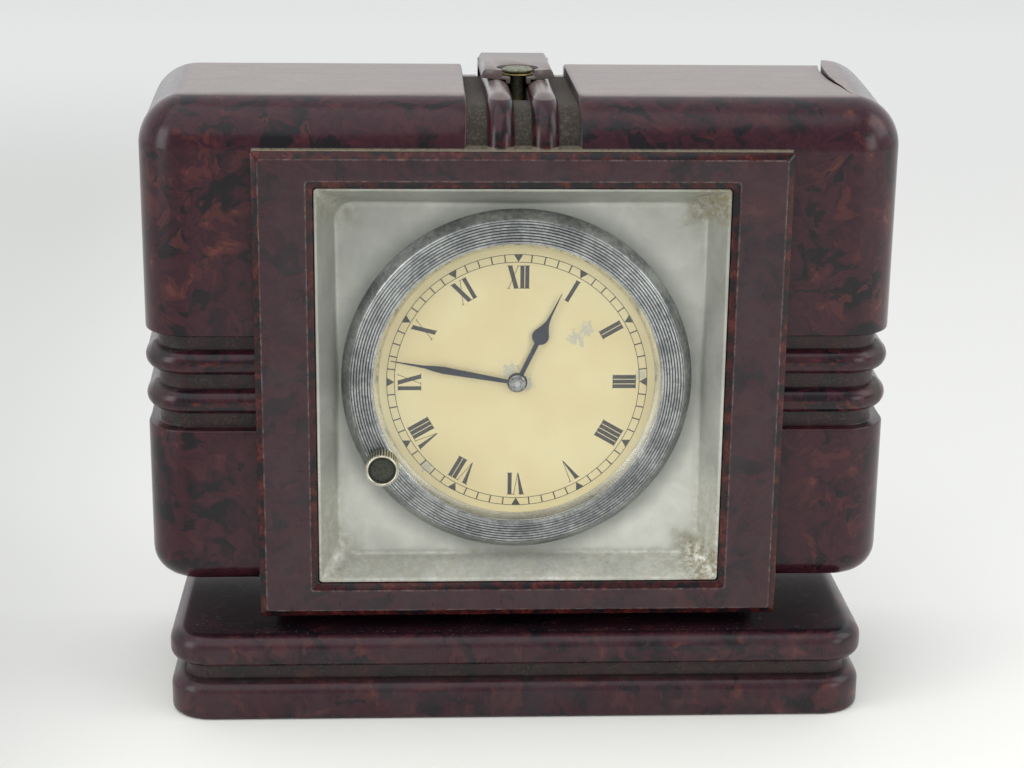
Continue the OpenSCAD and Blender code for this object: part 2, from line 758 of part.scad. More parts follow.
// Small bar over the pallet lever, on two feet
module pallet_bridge() {
    y = 7.6;
    side = polar(4.2, pallet_dir + 90);
    color("#c6a65a") in_clock() difference() {
        union() {
            layer(pallet_p, y, 0.6) rotate(pallet_dir + 90) rounded(11, 2.4, 1.1);
            for (s = [-1, 1]) bar(pallet_p + s * side, 1, front_plate_y + plate_t, y);
        }
        bar(pallet_p, pivot_r + play, y - cut, y + 2);
    }
}

// Bar behind the winding wheels, which holds the stem's back bearing
module winding_bridge() {
    mid = (winding_p + stem_p) / 2;
    post = winding_p + polar(7.6, stem_angle + 90);
    color("#c6a65a") in_clock() difference() {
        union() {
            layer(winding_p, bridge_y, bridge_t) rotate(stem_angle) {
                translate([-4, -2]) square([4 + stem_r - norm(winding_p), 4]);
                translate([stem_r - norm(winding_p), 0]) circle(2, $fn = small_fn);
                translate([-4, 0]) circle(2, $fn = small_fn);
                translate([-1.8, 0]) square([3.6, 7.6]);
                translate([0, 7.6]) circle(1.8, $fn = small_fn);
            }
            bar(post, 1.1, back_plate_y + plate_t, bridge_y);
        }
        bar(stem_p, stem_rod_r + play, bridge_y - cut, bridge_y + 2);
    }
}

// Stud that holds the outer end of the hairspring
spring_outer = 4.6;
module spring_stud() {
    color("#9b9d9c") in_clock() bar(balance_p + [spring_outer + 0.8, 0], 0.5, 10.4, back_plate_y);
}

// Hands and motion work

nut_front = -1.75;
minute_hand_y = -1.25;
hour_hand_y = -0.75;
hand_t = 0.25;

// Closes an outline from the half of it that lies above the X axis
function both_sides(half) =
    concat([for (q = half) [q[0], -q[1]]], [for (i = [len(half) - 1:-1:0]) half[i]]);

// Long leaf that narrows to a needle
module minute_hand() {
    leaf = [[0, 0.5], [2, 0.42], [9, 0.62], [16.5, 0.8], [19, 0.55], [20.5, 0.3], [24, 0.2], [28.1, 0.06]];
    color("#16264a") in_clock() layer(centre_p, minute_hand_y, hand_t) difference() {
        union() {
            rotate(90 - 6 * shown_minute) polygon(both_sides(leaf));
            circle(1.9, $fn = small_fn);
        }
        circle(0.9, $fn = small_fn);
    }
}

// Round-bodied spade that narrows to a needle
module hour_hand() {
    bulb = 11.5;
    bulb_r = 1.85;
    neck = [[bulb + 0.3, 1.6], [bulb + 1.2, 1.42], [bulb + 2.4, 0.8], [bulb + 3.6, 0.42], [bulb + 5.4, 0.24],
        [22.1, 0.06]];
    color("#16264a") in_clock() layer(centre_p, hour_hand_y, hand_t) difference() {
        union() {
            rotate(90 - hour_angle) {
                translate([0, -0.5]) square([bulb, 1]);
                translate([bulb, 0]) circle(bulb_r);
                polygon(both_sides(neck));
            }
            circle(2.2, $fn = small_fn);
        }
        circle(1.6, $fn = small_fn);
    }
}

module hub_nut() {
    color("#6d7076") in_clock() difference() {
        turned([[0, minute_hand_y], [1.87, minute_hand_y], [1.87, minute_hand_y - 0.2], [1.2, nut_front],
            [0, nut_front]], facets = small_fn);
        bar(centre_p, 0.6, nut_front - cut, minute_hand_y + cut);
    }
}

module centre_arbor() {
    color("#9b9d9c") in_clock() {
        bar(centre_p, 0.6, nut_front - 0.1, minute_hand_y);
        bar(centre_p, 0.9, minute_hand_y, 9);
        bar(centre_p, 0.65, 9, 12);
        bar(centre_p, 0.9, 12, back_plate_y + plate_t - 0.2);
        layer(centre_p, 9.9, 1.5) teeth(pinion_leaves, m_going, 0);
    }
}

module centre_wheel() {
    color("#d2b36a") in_clock() layer(centre_p, 12.2, 0.6) difference() {
        spoked(centre_teeth, m_going, 0, 0.9, 2);
        circle(0.9, $fn = small_fn);
    }
}

module cannon_pinion() {
    color("#9b9d9c") in_clock() difference() {
        union() {
            bar(centre_p, 1.2, -0.95, 2.6);
            layer(centre_p, 1.7, 0.9) teeth(cannon_leaves, m_going, cannon_turn);
        }
        bar(centre_p, 0.9, -2, 4);
    }
}

module hour_wheel() {
    color("#d2b36a") in_clock() difference() {
        union() {
            bar(centre_p, 1.6, hour_hand_y, 1.5);
            layer(centre_p, 0.9, 0.5) teeth(hour_teeth, m_hour, hour_turn);
        }
        bar(centre_p, 1.2 + play, -2, 4);
    }
}

module minute_wheel() {
    color("#d2b36a") in_clock() difference() {
        union() {
            layer(minute_p, 1.9, 0.5) teeth(minute_teeth, m_going, minute_turn);
            layer(minute_p, 0.8, 1.1) teeth(minute_leaves, m_hour, minute_pinion_turn);
        }
        bar(minute_p, 0.6 + play, 0, 4);
    }
}

// A plain wheel of the setting train
module setting_wheel(p, count, turn) {
    color("#d2b36a") in_clock() layer(p, 1.9, 0.5) difference() {
        spoked(count, m_going, turn, 0.8, 1.5);
        circle(0.6 + play, $fn = small_fn);
    }
}

module setting_wheel_inner() {
    setting_wheel(inner_p, inner_teeth, inner_turn);
}

module setting_wheel_outer() {
    setting_wheel(outer_p, outer_teeth, outer_turn);
}

// Barrel and winding

module barrel() {
    drum = 11;
    color("#d2b36a") in_clock() difference() {
        union() {
            bar(barrel_p, drum, 5.2, 11.2, $fn);
            layer(barrel_p, 10.3, 0.9) teeth(barrel_teeth, m_going, barrel_turn);
        }
        bar(barrel_p, drum - 0.7, 5.9, 10.5, $fn);
        bar(barrel_p, 1.5 + play, 4, 12);
    }
}

// Flat spiral strip, coiled against the wall of the barrel
module spiral(r0, r1, turns, t, steps) {
    function edge(i, off) = let (s = i / steps) polar(r0 + (r1 - r0) * s + off, 360 * turns * s);
    polygon(concat([for (i = [0:steps]) edge(i, t / 2)], [for (i = [steps:-1:0]) edge(i, -t / 2)]));
}

module mainspring() {
    color("#5a6472") in_clock() layer(barrel_p, 6.2, 4) spiral(5.2, 9.9, 7, 0.3, 168);
}

module barrel_arbor() {
    color("#9b9d9c") in_clock() {
        bar(barrel_p, 1.2, front_plate_y + 0.2, 5.1);
        bar(barrel_p, 1.5, 5.1, 11.3);
        bar(barrel_p, 2.6, 6.1, 10.3);
        bar(barrel_p, 1.2, 11.3, winding_y);
        layer(barrel_p, winding_y, winding_t + 0.2) square(1.5, center = true);
    }
}

module ratchet_wheel() {
    color("#d2b36a") in_clock() layer(barrel_p, winding_y, winding_t) difference() {
        teeth(ratchet_teeth, m_winding, ratchet_turn);
        square(1.5, center = true);
        for (i = [0:2]) rotate(60 + 120 * i) translate([4.4, 0]) circle(1.1, $fn = small_fn);
    }
}

module winding_wheel() {
    color("#d2b36a") in_clock() layer(winding_p, winding_y, winding_t) difference() {
        teeth(winding_teeth, m_winding, winding_turn);
        circle(1 + play, $fn = small_fn);
    }
}

// Click: its nose lies just outside the tips of the ratchet's teeth
click_dir = stem_angle + 130;
click_gap = 0.12;
ratchet_tip = m_winding * (ratchet_teeth / 2 + 0.8);
click_p = barrel_p + polar(ratchet_tip + 3.2, click_dir);
module click() {
    nose = barrel_p + polar(ratchet_tip + click_gap, click_dir - 28);
    away = direction(barrel_p, nose);
    color("#9b9d9c") in_clock() layer([0, 0], winding_y, winding_t) difference() {
        hull() {
            translate(click_p) circle(1.6, $fn = 24);
            translate(nose + polar(0.35, away)) circle(0.3, $fn = 24);
            translate(nose + polar(1.4, away + 20)) circle(0.5, $fn = 24);
        }
        translate(click_p) circle(0.8 + play, $fn = small_fn);
        translate(barrel_p) circle(ratchet_tip + click_gap / 2);
    }
}

// Train and escapement

module third_wheel() {
    color("#d2b36a") in_clock() {
        arbor(third_p, 0.5, pivot_r);
        layer(third_p, 12, 1) teeth(pinion_leaves, m_going, third_turn);
        layer(third_p, 8, 0.5) spoked(train_teeth, m_third, 0, 0.7, 1.4);
    }
}

module fourth_wheel() {
    color("#d2b36a") in_clock() {
        arbor(fourth_p, 0.45, pivot_r);
        layer(fourth_p, 7.8, 0.9) teeth(pinion_leaves, m_third, fourth_turn);
        layer(fourth_p, 10, 0.5) spoked(train_teeth, m_fourth, 0, 0.7, 1.3);
    }
}

// Fifteen club teeth that lean forward
module escape_wheel() {
    step = 360 / escape_teeth;
    tooth = [[0.74, -0.1], [1, 0.26], [1, 0.38], [0.93, 0.4], [0.74, 0.22]];
    color("#d2b36a") in_clock() {
        arbor(escape_p, 0.35, pivot_r);
        layer(escape_p, 9.8, 0.9) teeth(escape_leaves, m_fourth, escape_turn);
        layer(escape_p, 6.4, 0.4) difference() {
            polygon([for (i = [0:escape_teeth - 1], c = tooth)
                polar(escape_r * c[0], pallet_dir + (i + 0.18 + c[1]) * step)]);
            difference() {
                circle(escape_r * 0.64);
                circle(1.1, $fn = small_fn);
                for (i = [0:3]) rotate(i * 90) translate([0, -0.3]) square([escape_r, 0.6]);
            }
        }
    }
}

// Lever whose two pallets stand just outside the tips of the escape wheel's teeth
module pallet_lever() {
    clearance = 0.08;
    reach = escape_r / cos(30);
    color("#9b9d9c") in_clock() {
        bar(pallet_p, pivot_r, front_plate_y + 0.2, 8);
        bar(pallet_p, 0.5, front_plate_y + plate_t + 0.2, 7.5);
        layer(pallet_p, 6.4, 0.5) rotate(pallet_dir) difference() {
            union() {
                // Tail towards the balance, with its fork
                translate([0, -0.35]) square([4.4, 0.7]);
                translate([3.6, -0.8]) square([1.15, 1.6]);
                circle(0.9, $fn = small_fn);
                // Arms, and the pallets at their ends
                for (s = [-1, 1]) {
                    hull() {
                        circle(0.6, $fn = 24);
                        translate([escape_r * cos(30) - reach + 0.55, s * (escape_r / 2 + 0.25)])
                            circle(0.35, $fn = 24);
                    }
                    translate([escape_r * cos(30) - reach - 0.2, s * escape_r / 2 - 0.2]) square([1, 0.4]);
                }
            }
            translate([4.1, -0.3]) square([2, 0.6]);
            translate([-reach, 0]) circle(escape_r + clearance);
        }
    }
}

module balance_wheel() {
    rim_r = 8;
    color("#d2b36a") in_clock() {
        bar(balance_p, balance_pivot_r, front_plate_y + 0.2, back_plate_y + plate_t - 0.2);
        bar(balance_p, 0.4, front_plate_y + plate_t + 0.2, back_plate_y - 0.2);
        bar(balance_p, 0.7, 10.6, 11.3);
        layer(balance_p, 9, 0.7) {
            difference() {
                circle(rim_r);
                circle(rim_r - 0.8);
            }
            rotate(pallet_dir) square([2 * rim_r - 1, 0.7], center = true);
            circle(1.2, $fn = small_fn);
            // Timing screws round the rim
            for (i = [0:11]) rotate(pallet_dir + 15 + 30 * i)
                translate([rim_r - 0.1, -0.3]) square([0.7, 0.6]);
        }
        // Roller with its impulse pin
        bar(balance_p, 1, 7.1, 7.4);
        bar(balance_p + polar(0.75, pallet_dir + 180), 0.15, 6.4, 7.1);
    }
}

module hairspring() {
    color("#3d4a66") in_clock() layer(balance_p, 10.8, 0.3) spiral(0.8, spring_outer, 9, 0.08, 198);
}

// The knob, its stem and the yoke that shifts with it

knob_front = -8.5;
knob_back = -3.7;
module knob() {
    rim = 0.75;
    ribs = 40;
    color("#c8ba8c") in_clock() difference() {
        union() {
            layer(stem_p, knob_front + 0.5, knob_back - knob_front - 1)
                teeth(ribs, 2 * (knob_r - 0.15) / ribs, 0, 0.2, 0.3);
            bar(stem_p, knob_r - 0.25, knob_front, knob_back);
        }
        bar(stem_p, knob_r - rim, knob_front - cut, knob_front + 0.8);
        bar(stem_p, stem_rod_r, knob_front + 2, knob_back + cut);
    }
}

module winding_stem() {
    color("#9b9d9c") in_clock() {
        bar(stem_p, stem_rod_r, knob_front + 2, 0.4);
        bar(stem_p, 0.65, 0.4, front_plate_y + 1);
        bar(stem_p, stem_rod_r, front_plate_y + 1, bridge_y + bridge_t + 0.3 + knob_pull);
        layer(stem_p, front_plate_y + 0.3, 0.45) teeth(stem_leaves, m_going, setting_turn);
        layer(stem_p, winding_y - 0.05, winding_t + 0.1)
            teeth(stem_leaves, m_winding, stem_turn, 0.1, 0.22);
        for (y = [7, 8.6]) bar(stem_p, 1.6, y, y + 0.4);
    }
}

// Yoke: a fork between the stem's collars, on a guide pin of its own
module stem_yoke() {
    color("#9b9d9c") in_clock() {
        layer(stem_p, 7.5, 1) rotate(stem_angle + 90) difference() {
            union() {
                translate([-1.6, -1.3]) square([6.2, 2.6]);
                translate([4.6, 0]) circle(1.3, $fn = small_fn);
            }
            circle(stem_rod_r + play, $fn = small_fn);
            translate([-2, -stem_rod_r - play]) square([2, 2 * (stem_rod_r + play)]);
        }
        bar(yoke_p, 0.6, 6.5, back_plate_y + plate_t + 0.2);
    }
}

// The back cover and its screw

// A round hole over the screw, and a slot from it that is open at the nose
module keyhole(z, r, half) {
    translate([0, 0, z]) linear_extrude(wall) {
        translate([0, screw_y]) circle(r, $fn = 64);
        translate([-half, tongue_front - cut]) square([2 * half, screw_y - tongue_front + cut]);
    }
}

// Tongue that lies over the ribs: a bevelled bar with a key between them and a rounded nose
module tongue() {
    top = case_top + tongue_rise;
    rear = case_rear - 0.1;
    key_half = 2.75;
    intersection() {
        translate([0, rear, 0]) rotate([90, 0, 0]) linear_extrude(rear - tongue_front) difference() {
            union() {
                polygon([[-tongue_base, tongue_under], [tongue_base, tongue_under],
                    [tongue_base, tongue_under + 0.4], [tongue_half + 0.5, top - 0.7], [tongue_half, top],
                    [-tongue_half, top], [-tongue_half - 0.5, top - 0.7],
                    [-tongue_base, tongue_under + 0.4]]);
                translate([-key_half, tongue_under - 0.85]) square([2 * key_half, 1]);
            }
            for (x = [-rib_x, rib_x]) translate([x, channel_floor]) circle(rib_r + 0.1);
        }
        translate([0, 0, case_top - wall]) linear_extrude(2 * wall) {
            translate([0, tongue_front + nose_r]) circle(nose_r);
            translate([-nose_r, tongue_front + nose_r]) square([2 * nose_r, rear]);
        }
    }
}

module back_cover() {
    gap = 0.3;
    w = 2 * (cavity_half + rebate - gap);
    h = cavity_top - cavity_bottom + 2 * (rebate - gap);
    mid = (cavity_top + cavity_bottom) / 2;
    y0 = case_rear - cover_t - 0.1;
    color("#3a1216") difference() {
        union() {
            translate([-w / 2, y0, mid - h / 2]) cube([w, cover_t, h]);
            // Stiffening frame and lugs on the inside
            translate([0, y0, mid]) rotate([90, 0, 0]) linear_extrude(2) difference() {
                rounded(w - 16, h - 16, 5);
                rounded(w - 20, h - 20, 3);
            }
            for (x = [-40, 40]) translate([x - 6, y0 - 6, cavity_bottom + gap]) cube([12, 6, 3]);
            // Root of the tongue, which passes through the notch in the case
            translate([-tongue_base, y0, mid]) cube([2 * tongue_base, cover_t, tongue_under - mid + cut]);
            tongue();
        }
        // Keyhole: a slot for the screw's shank, and over it a seat for the collar
        keyhole(tongue_under - 2 * cut, screw_r + 0.3, screw_r + 0.3);
        keyhole(counterbore_z, counterbore_r, keyhole_half);
        // Shallow panel on the outside
        translate([0, case_rear, mid]) rotate([90, 0, 0]) linear_extrude(0.9) difference() {
            rounded(w - 12, h - 12, 4);
            rounded(w - 16, h - 16, 3);
        }
    }
}

// Captive collar under the screw's head
module screw_collar() {
    r = head_r - 0.05;
    color("#b39a52") translate([0, screw_y, collar_z]) difference() {
        rotate_extrude($fn = 64) polygon([[0, 0], [r, 0], [r, 0.3], [r - 0.4, 0.5], [0, 0.5]]);
        translate([0, 0, -cut]) cylinder(r = screw_r + play, h = 3, $fn = small_fn);
    }
}

// Slotted screw with a thin domed head
module cover_screw() {
    head_z = collar_z + 0.55;
    tip = insert_top - insert_h + 1;
    color("#a7ab94") translate([0, screw_y, 0]) difference() {
        rotate_extrude($fn = 64) polygon([[0, tip], [screw_r - 0.3, tip], [screw_r, tip + 0.3],
            [screw_r, head_z], [head_r - 0.6, head_z], [head_r, head_z + 0.3], [head_r, head_z + 0.65],
            [head_r - 0.6, head_z + 0.95], [0, head_z + 1.1]]);
        translate([-head_r - cut, -0.45, head_z + 0.55]) cube([2 * head_r + 2 * cut, 0.9, 2]);
    }
}

front_shell();
plinth();
plinth_screws();
tray();
tray_screws();
bezel();
glass();
reflector();
dial();
clock_can();
can_cap();
front_plate();
back_plate();
pillars();
plate_screws();
wheel_studs();
pallet_bridge();
winding_bridge();
spring_stud();
clamp_bridge();
clamp_studs();
clamp_nuts();
cover_insert();
minute_hand();
hub_nut();
centre_arbor();
centre_wheel();
cannon_pinion();
hour_hand();
hour_wheel();
minute_wheel();
setting_wheel_inner();
setting_wheel_outer();
barrel();
mainspring();
barrel_arbor();
ratchet_wheel();
winding_wheel();
click();
third_wheel();
fourth_wheel();
escape_wheel();
pallet_lever();
balance_wheel();
hairspring();
knob();
winding_stem();
stem_yoke();
back_cover();
screw_collar();
cover_screw();
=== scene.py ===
"""Looks of a table clock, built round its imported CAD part.

A dark mottled moulding carries a raised panel with a square window. Behind the window a pale tray holds a
round clock with a cast bezel. Sizes are written in millimetres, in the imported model's frame, and every mesh
is made in metres.
"""

import logging
import math
from dataclasses import dataclass
from enum import Enum
from typing import Callable, Optional, Sequence

import bmesh
import bpy
from mathutils import Matrix, Vector, noise


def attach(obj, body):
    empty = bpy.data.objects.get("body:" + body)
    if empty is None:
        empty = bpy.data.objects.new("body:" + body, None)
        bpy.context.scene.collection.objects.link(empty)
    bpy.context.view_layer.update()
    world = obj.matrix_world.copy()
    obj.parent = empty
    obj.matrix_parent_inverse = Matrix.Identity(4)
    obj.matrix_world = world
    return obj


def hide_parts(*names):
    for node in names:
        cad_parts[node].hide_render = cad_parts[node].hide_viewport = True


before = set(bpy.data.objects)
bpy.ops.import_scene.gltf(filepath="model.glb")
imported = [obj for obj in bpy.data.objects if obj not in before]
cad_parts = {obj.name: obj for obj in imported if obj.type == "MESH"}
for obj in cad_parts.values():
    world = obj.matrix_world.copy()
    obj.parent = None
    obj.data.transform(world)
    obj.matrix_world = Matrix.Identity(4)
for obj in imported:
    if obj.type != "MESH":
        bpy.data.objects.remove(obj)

LOG = logging.getLogger("table_clock")
MM = 0.001
WELD = 0.002

Flat = tuple[float, float]
Place = tuple[float, float, float]
Piece = bpy.types.Object
Socket = bpy.types.NodeSocket
Material = bpy.types.Material


class Body(Enum):
    """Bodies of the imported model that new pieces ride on."""

    CASE = "case"
    MINUTE = "minute_hand"
    HOUR = "hour_hand"
    KNOB = "knob"
    COVER = "back_cover"
    COLLAR = "screw_collar"
    SCREW = "cover_screw"


class Dial:
    """The middle of the dial, and the clock face's directions."""

    x: float = -0.6
    y: float = -19.75
    z: float = 75.0

    @classmethod
    def at(cls, radius: float, clockwise: float, depth: float) -> Place:
        """Finds a point of the clock.

        Args:
            radius: distance from the middle of the dial.
            clockwise: angle in degrees from twelve.
            depth: distance behind the face of the dial.

        Returns:
            The point, in millimetres.
        """
        turn = math.radians(clockwise)
        return (cls.x + radius * math.sin(turn), cls.y + depth, cls.z + radius * math.cos(turn))


def rounded_loop(half_w: float, half_d: float, radius: float, arc: int = 8, side: int = 1) -> list[Flat]:
    """Draws a rectangle with round corners, anticlockwise.

    Args:
        half_w: half of its width.
        half_d: half of its depth.
        radius: radius of the corners.
        arc: steps round each corner.
        side: steps along each side.

    Returns:
        The outline's points.
    """
    points = []
    corners = [(1, 1), (-1, 1), (-1, -1), (1, -1)]
    for index, (sx, sy) in enumerate(corners):
        for step in range(arc + 1):
            turn = math.radians(90 * index + 90 * step / arc)
            points.append((sx * (half_w - radius) + radius * math.cos(turn),
                           sy * (half_d - radius) + radius * math.sin(turn)))
        ahead = corners[(index + 1) % 4]
        turn = math.radians(90 * (index + 1))
        end = (ahead[0] * (half_w - radius) + radius * math.cos(turn),
               ahead[1] * (half_d - radius) + radius * math.sin(turn))
        start = points[-1]
        for step in range(1, side):
            share = step / side
            points.append((start[0] + (end[0] - start[0]) * share, start[1] + (end[1] - start[1]) * share))
    return points


def soften(corners: Sequence[tuple[float, float, float]], steps: int = 3, closed: bool = False) -> list[Flat]:
    """Rounds the corners of an outline.

    Args:
        corners: each corner's two coordinates and its radius.
        steps: steps round each corner.
        closed: whether the last corner joins the first.

    Returns:
        The points of the rounded outline.
    """
    points: list[Flat] = []
    count = len(corners)
    for index, (a, b, radius) in enumerate(corners):
        inner = closed or 0 < index < count - 1
        if radius <= 0 or not inner:
            points.append((a, b))
            continue
        here = Vector((a, b))
        back = Vector(corners[(index - 1) % count][:2]) - here
        ahead = Vector(corners[(index + 1) % count][:2]) - here
        reach = min(radius, 0.45 * back.length, 0.45 * ahead.length)
        start = here + back.normalized() * reach
        end = here + ahead.normalized() * reach
        for step in range(steps + 1):
            share = step / steps
            point = start * (1 - share) ** 2 + here * 2 * share * (1 - share) + end * share ** 2
            points.append((point.x, point.y))
    return points


def arc_points(centre: Flat, radius: float, start: float, end: float, steps: int) -> list[Flat]:
    """Draws part of a circle.

    Args:
        centre: the circle's middle.
        radius: its radius.
        start: angle of the first point, in degrees.
        end: angle of the last point, in degrees.
        steps: steps between them.

    Returns:
        The points, with both ends.
    """
    turns = [math.radians(start + (end - start) * step / steps) for step in range(steps + 1)]
    return [(centre[0] + radius * math.cos(turn), centre[1] + radius * math.sin(turn)) for turn in turns]


class Shape:
    """Points and faces of one piece, in millimetres."""

    def __init__(self) -> None:
        """Starts with nothing."""
        self.points: list[Place] = []
        self.faces: list[list[int]] = []

    def add(self, points: Sequence[Place], faces: Sequence[Sequence[int]]) -> None:
        """Adds points, and faces that count from the first of them.

        Args:
            points: the new points.
            faces: the new faces.
        """
        first = len(self.points)
        self.points.extend(points)
        self.faces.extend([first + index for index in face] for face in faces)

    def grid(self, rows: Sequence[Sequence[Place]], across: bool = False, along: bool = False) -> None:
        """Joins rows of points with four-sided faces.

        Args:
            rows: rows with the same number of points.
            across: whether each row's last point joins its first.
            along: whether the last row joins the first.
        """
        wide = len(rows[0])
        deep = len(rows)
        faces = []
        for row in range(deep if along else deep - 1):
            for column in range(wide if across else wide - 1):
                ahead = (row + 1) % deep
                right = (column + 1) % wide
                faces.append([row * wide + column, row * wide + right, ahead * wide + right,
                              ahead * wide + column])
        self.add([point for row in rows for point in row], faces)

    def skin(self, loops: Sequence[Sequence[Place]], closed: bool = False) -> None:
        """Covers a stack of closed loops, and caps its ends unless it closes on itself.

        Args:
            loops: loops with the same number of points.
            closed: whether the last loop joins the first.
        """
        self.grid(loops, across=True, along=closed)
        if not closed:
            self.add(loops[0], [list(range(len(loops[0])))])
            self.add(loops[-1], [list(range(len(loops[-1])))])

    def turned(self, profile: Sequence[Flat], segments: int, middle: Place, closed: bool = True) -> None:
        """Turns a profile round a line that runs front to back.

        Args:
            profile: radius and depth of each point.
            segments: steps round the circle.
            middle: point on the line from which the depths count.
            closed: whether the profile's last point joins its first.
        """
        rows = []
        for radius, depth in profile:
            row = []
            for step in range(segments):
                turn = 2 * math.pi * step / segments
                row.append((middle[0] + radius * math.sin(turn), middle[1] + depth,
                            middle[2] + radius * math.cos(turn)))
            rows.append(row)
        self.grid(rows, across=True, along=closed)

    def plate(self, outline: Sequence[Place], shift: Place) -> None:
        """Makes a flat outline into a plate.

        Args:
            outline: corners of one face.
            shift: step from that face to the other one.
        """
        far = [(x + shift[0], y + shift[1], z + shift[2]) for x, y, z in outline]
        self.skin([list(outline), far])

    def piece(self, name: str, sharp: float = 32.0) -> Piece:
        """Makes the object, with doubled points welded and faces turned outwards.

        Args:
            name: the object's name.
            sharp: angle in degrees past which an edge stays sharp.

        Returns:
            The object, at the origin.
        """
        mesh = bpy.data.meshes.new(name)
        mesh.from_pydata([(x * MM, y * MM, z * MM) for x, y, z in self.points], [], self.faces)
        work = bmesh.new()
        work.from_mesh(mesh)
        bmesh.ops.remove_doubles(work, verts=work.verts, dist=WELD * MM)
        bmesh.ops.recalc_face_normals(work, faces=work.faces)
        work.to_mesh(mesh)
        work.free()
        mesh.validate()
        piece = bpy.data.objects.new(name, mesh)
        bpy.context.scene.collection.objects.link(piece)
        shade(piece, sharp)
        return piece


def shade(piece: Piece, sharp: float) -> None:
    """Shades a piece smoothly, apart from edges that bend more than the angle sharp."""
    piece.data.shade_smooth()
    piece.data.set_sharp_from_angle(angle=math.radians(sharp))


def settle(piece: Piece) -> None:
    """Makes what a piece's modifiers give its own mesh, and drops them.

    Args:
        piece: the object.
    """
    graph = bpy.context.evaluated_depsgraph_get()
    mesh = bpy.data.meshes.new_from_object(piece.evaluated_get(graph), depsgraph=graph)
    piece.modifiers.clear()
    piece.data = mesh


def split_faces(piece: Piece) -> None:
    """Splits every face into triangles, because a bent face would leave holes where it is cut.

    Args:
        piece: the object.
    """
    work = bmesh.new()
    work.from_mesh(piece.data)
    bmesh.ops.triangulate(work, faces=work.faces[:])
    work.to_mesh(piece.data)
    work.free()


def combine(piece: Piece, others: Sequence[Piece], operation: str) -> None:
    """Joins others to a piece or cuts them out of it, and removes them.

    Args:
        piece: the object that is changed.
        others: closed shapes.
        operation: UNION or DIFFERENCE.
    """
    for other in others:
        split_faces(piece)
        split_faces(other)
        cut = piece.modifiers.new("Combine", "BOOLEAN")
        cut.operation = operation
        cut.solver = "EXACT"
        cut.object = other
        settle(piece)
        bpy.data.objects.remove(other)


def close_slivers(piece: Piece) -> None:
    """Welds the points that lie almost together after the cuts, and drops faces without area.

    Args:
        piece: the object.
    """
    work = bmesh.new()
    work.from_mesh(piece.data)
    bmesh.ops.remove_doubles(work, verts=work.verts, dist=2 * WELD * MM)
    bmesh.ops.dissolve_degenerate(work, edges=work.edges, dist=WELD * MM)
    work.to_mesh(piece.data)
    work.free()
    piece.data.validate()


def block(low: Place, high: Place, radius: float = 0.0) -> Piece:
    """Makes a box for combine, with its upright edges rounded.

    Args:
        low: lowest corner.
        high: highest corner.
        radius: radius of the upright edges.

    Returns:
        The box.
    """
    middle = ((low[0] + high[0]) / 2, (low[1] + high[1]) / 2)
    outline = rounded_loop((high[0] - low[0]) / 2, (high[1] - low[1]) / 2, max(radius, 0.01),
                           arc=6 if radius else 1)
    shape = Shape()
    shape.skin([[(middle[0] + x, middle[1] + y, z) for x, y in outline] for z in (low[2], high[2])])
    return shape.piece("block")


def rod(middle: Flat, radius: float, low: float, high: float, segments: int = 32) -> Piece:
    """Makes an upright cylinder for combine.

    Args:
        middle: where it stands.
        radius: its radius.
        low: height of its lower end.
        high: height of its upper end.
        segments: steps round the circle.

    Returns:
        The cylinder.
    """
    circle = arc_points(middle, radius, 0, 360, segments)[:-1]
    shape = Shape()
    shape.skin([[(x, y, z) for x, y in circle] for z in (low, high)])
    return shape.piece("rod")


def softened_copy(node: str, width: float, name: str, angle: float = 30.0) -> Piece:
    """Copies a CAD node and rounds its edges, for a piece that replaces it.

    Args:
        node: name of the CAD node.
        width: width of the rounding in millimetres.
        name: name of the new piece.
        angle: least angle in degrees of an edge that is rounded.

    Returns:
        The new piece.
    """
    mesh = bpy.data.meshes.new(name)
    work = bmesh.new()
    work.from_mesh(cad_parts[node].data)
    bmesh.ops.remove_doubles(work, verts=work.verts, dist=WELD * MM)
    bmesh.ops.dissolve_limit(work, angle_limit=math.radians(1.0), verts=work.verts, edges=work.edges,
                             delimit={"NORMAL"})
    work.to_mesh(mesh)
    work.free()
    piece = bpy.data.objects.new(name, mesh)
    bpy.context.scene.collection.objects.link(piece)
    bevel = piece.modifiers.new("Edges", "BEVEL")
    bevel.width = width * MM
    bevel.segments = 2
    bevel.limit_method = "ANGLE"
    bevel.angle_limit = math.radians(angle)
    settle(piece)
    shade(piece, 38.0)
    return piece


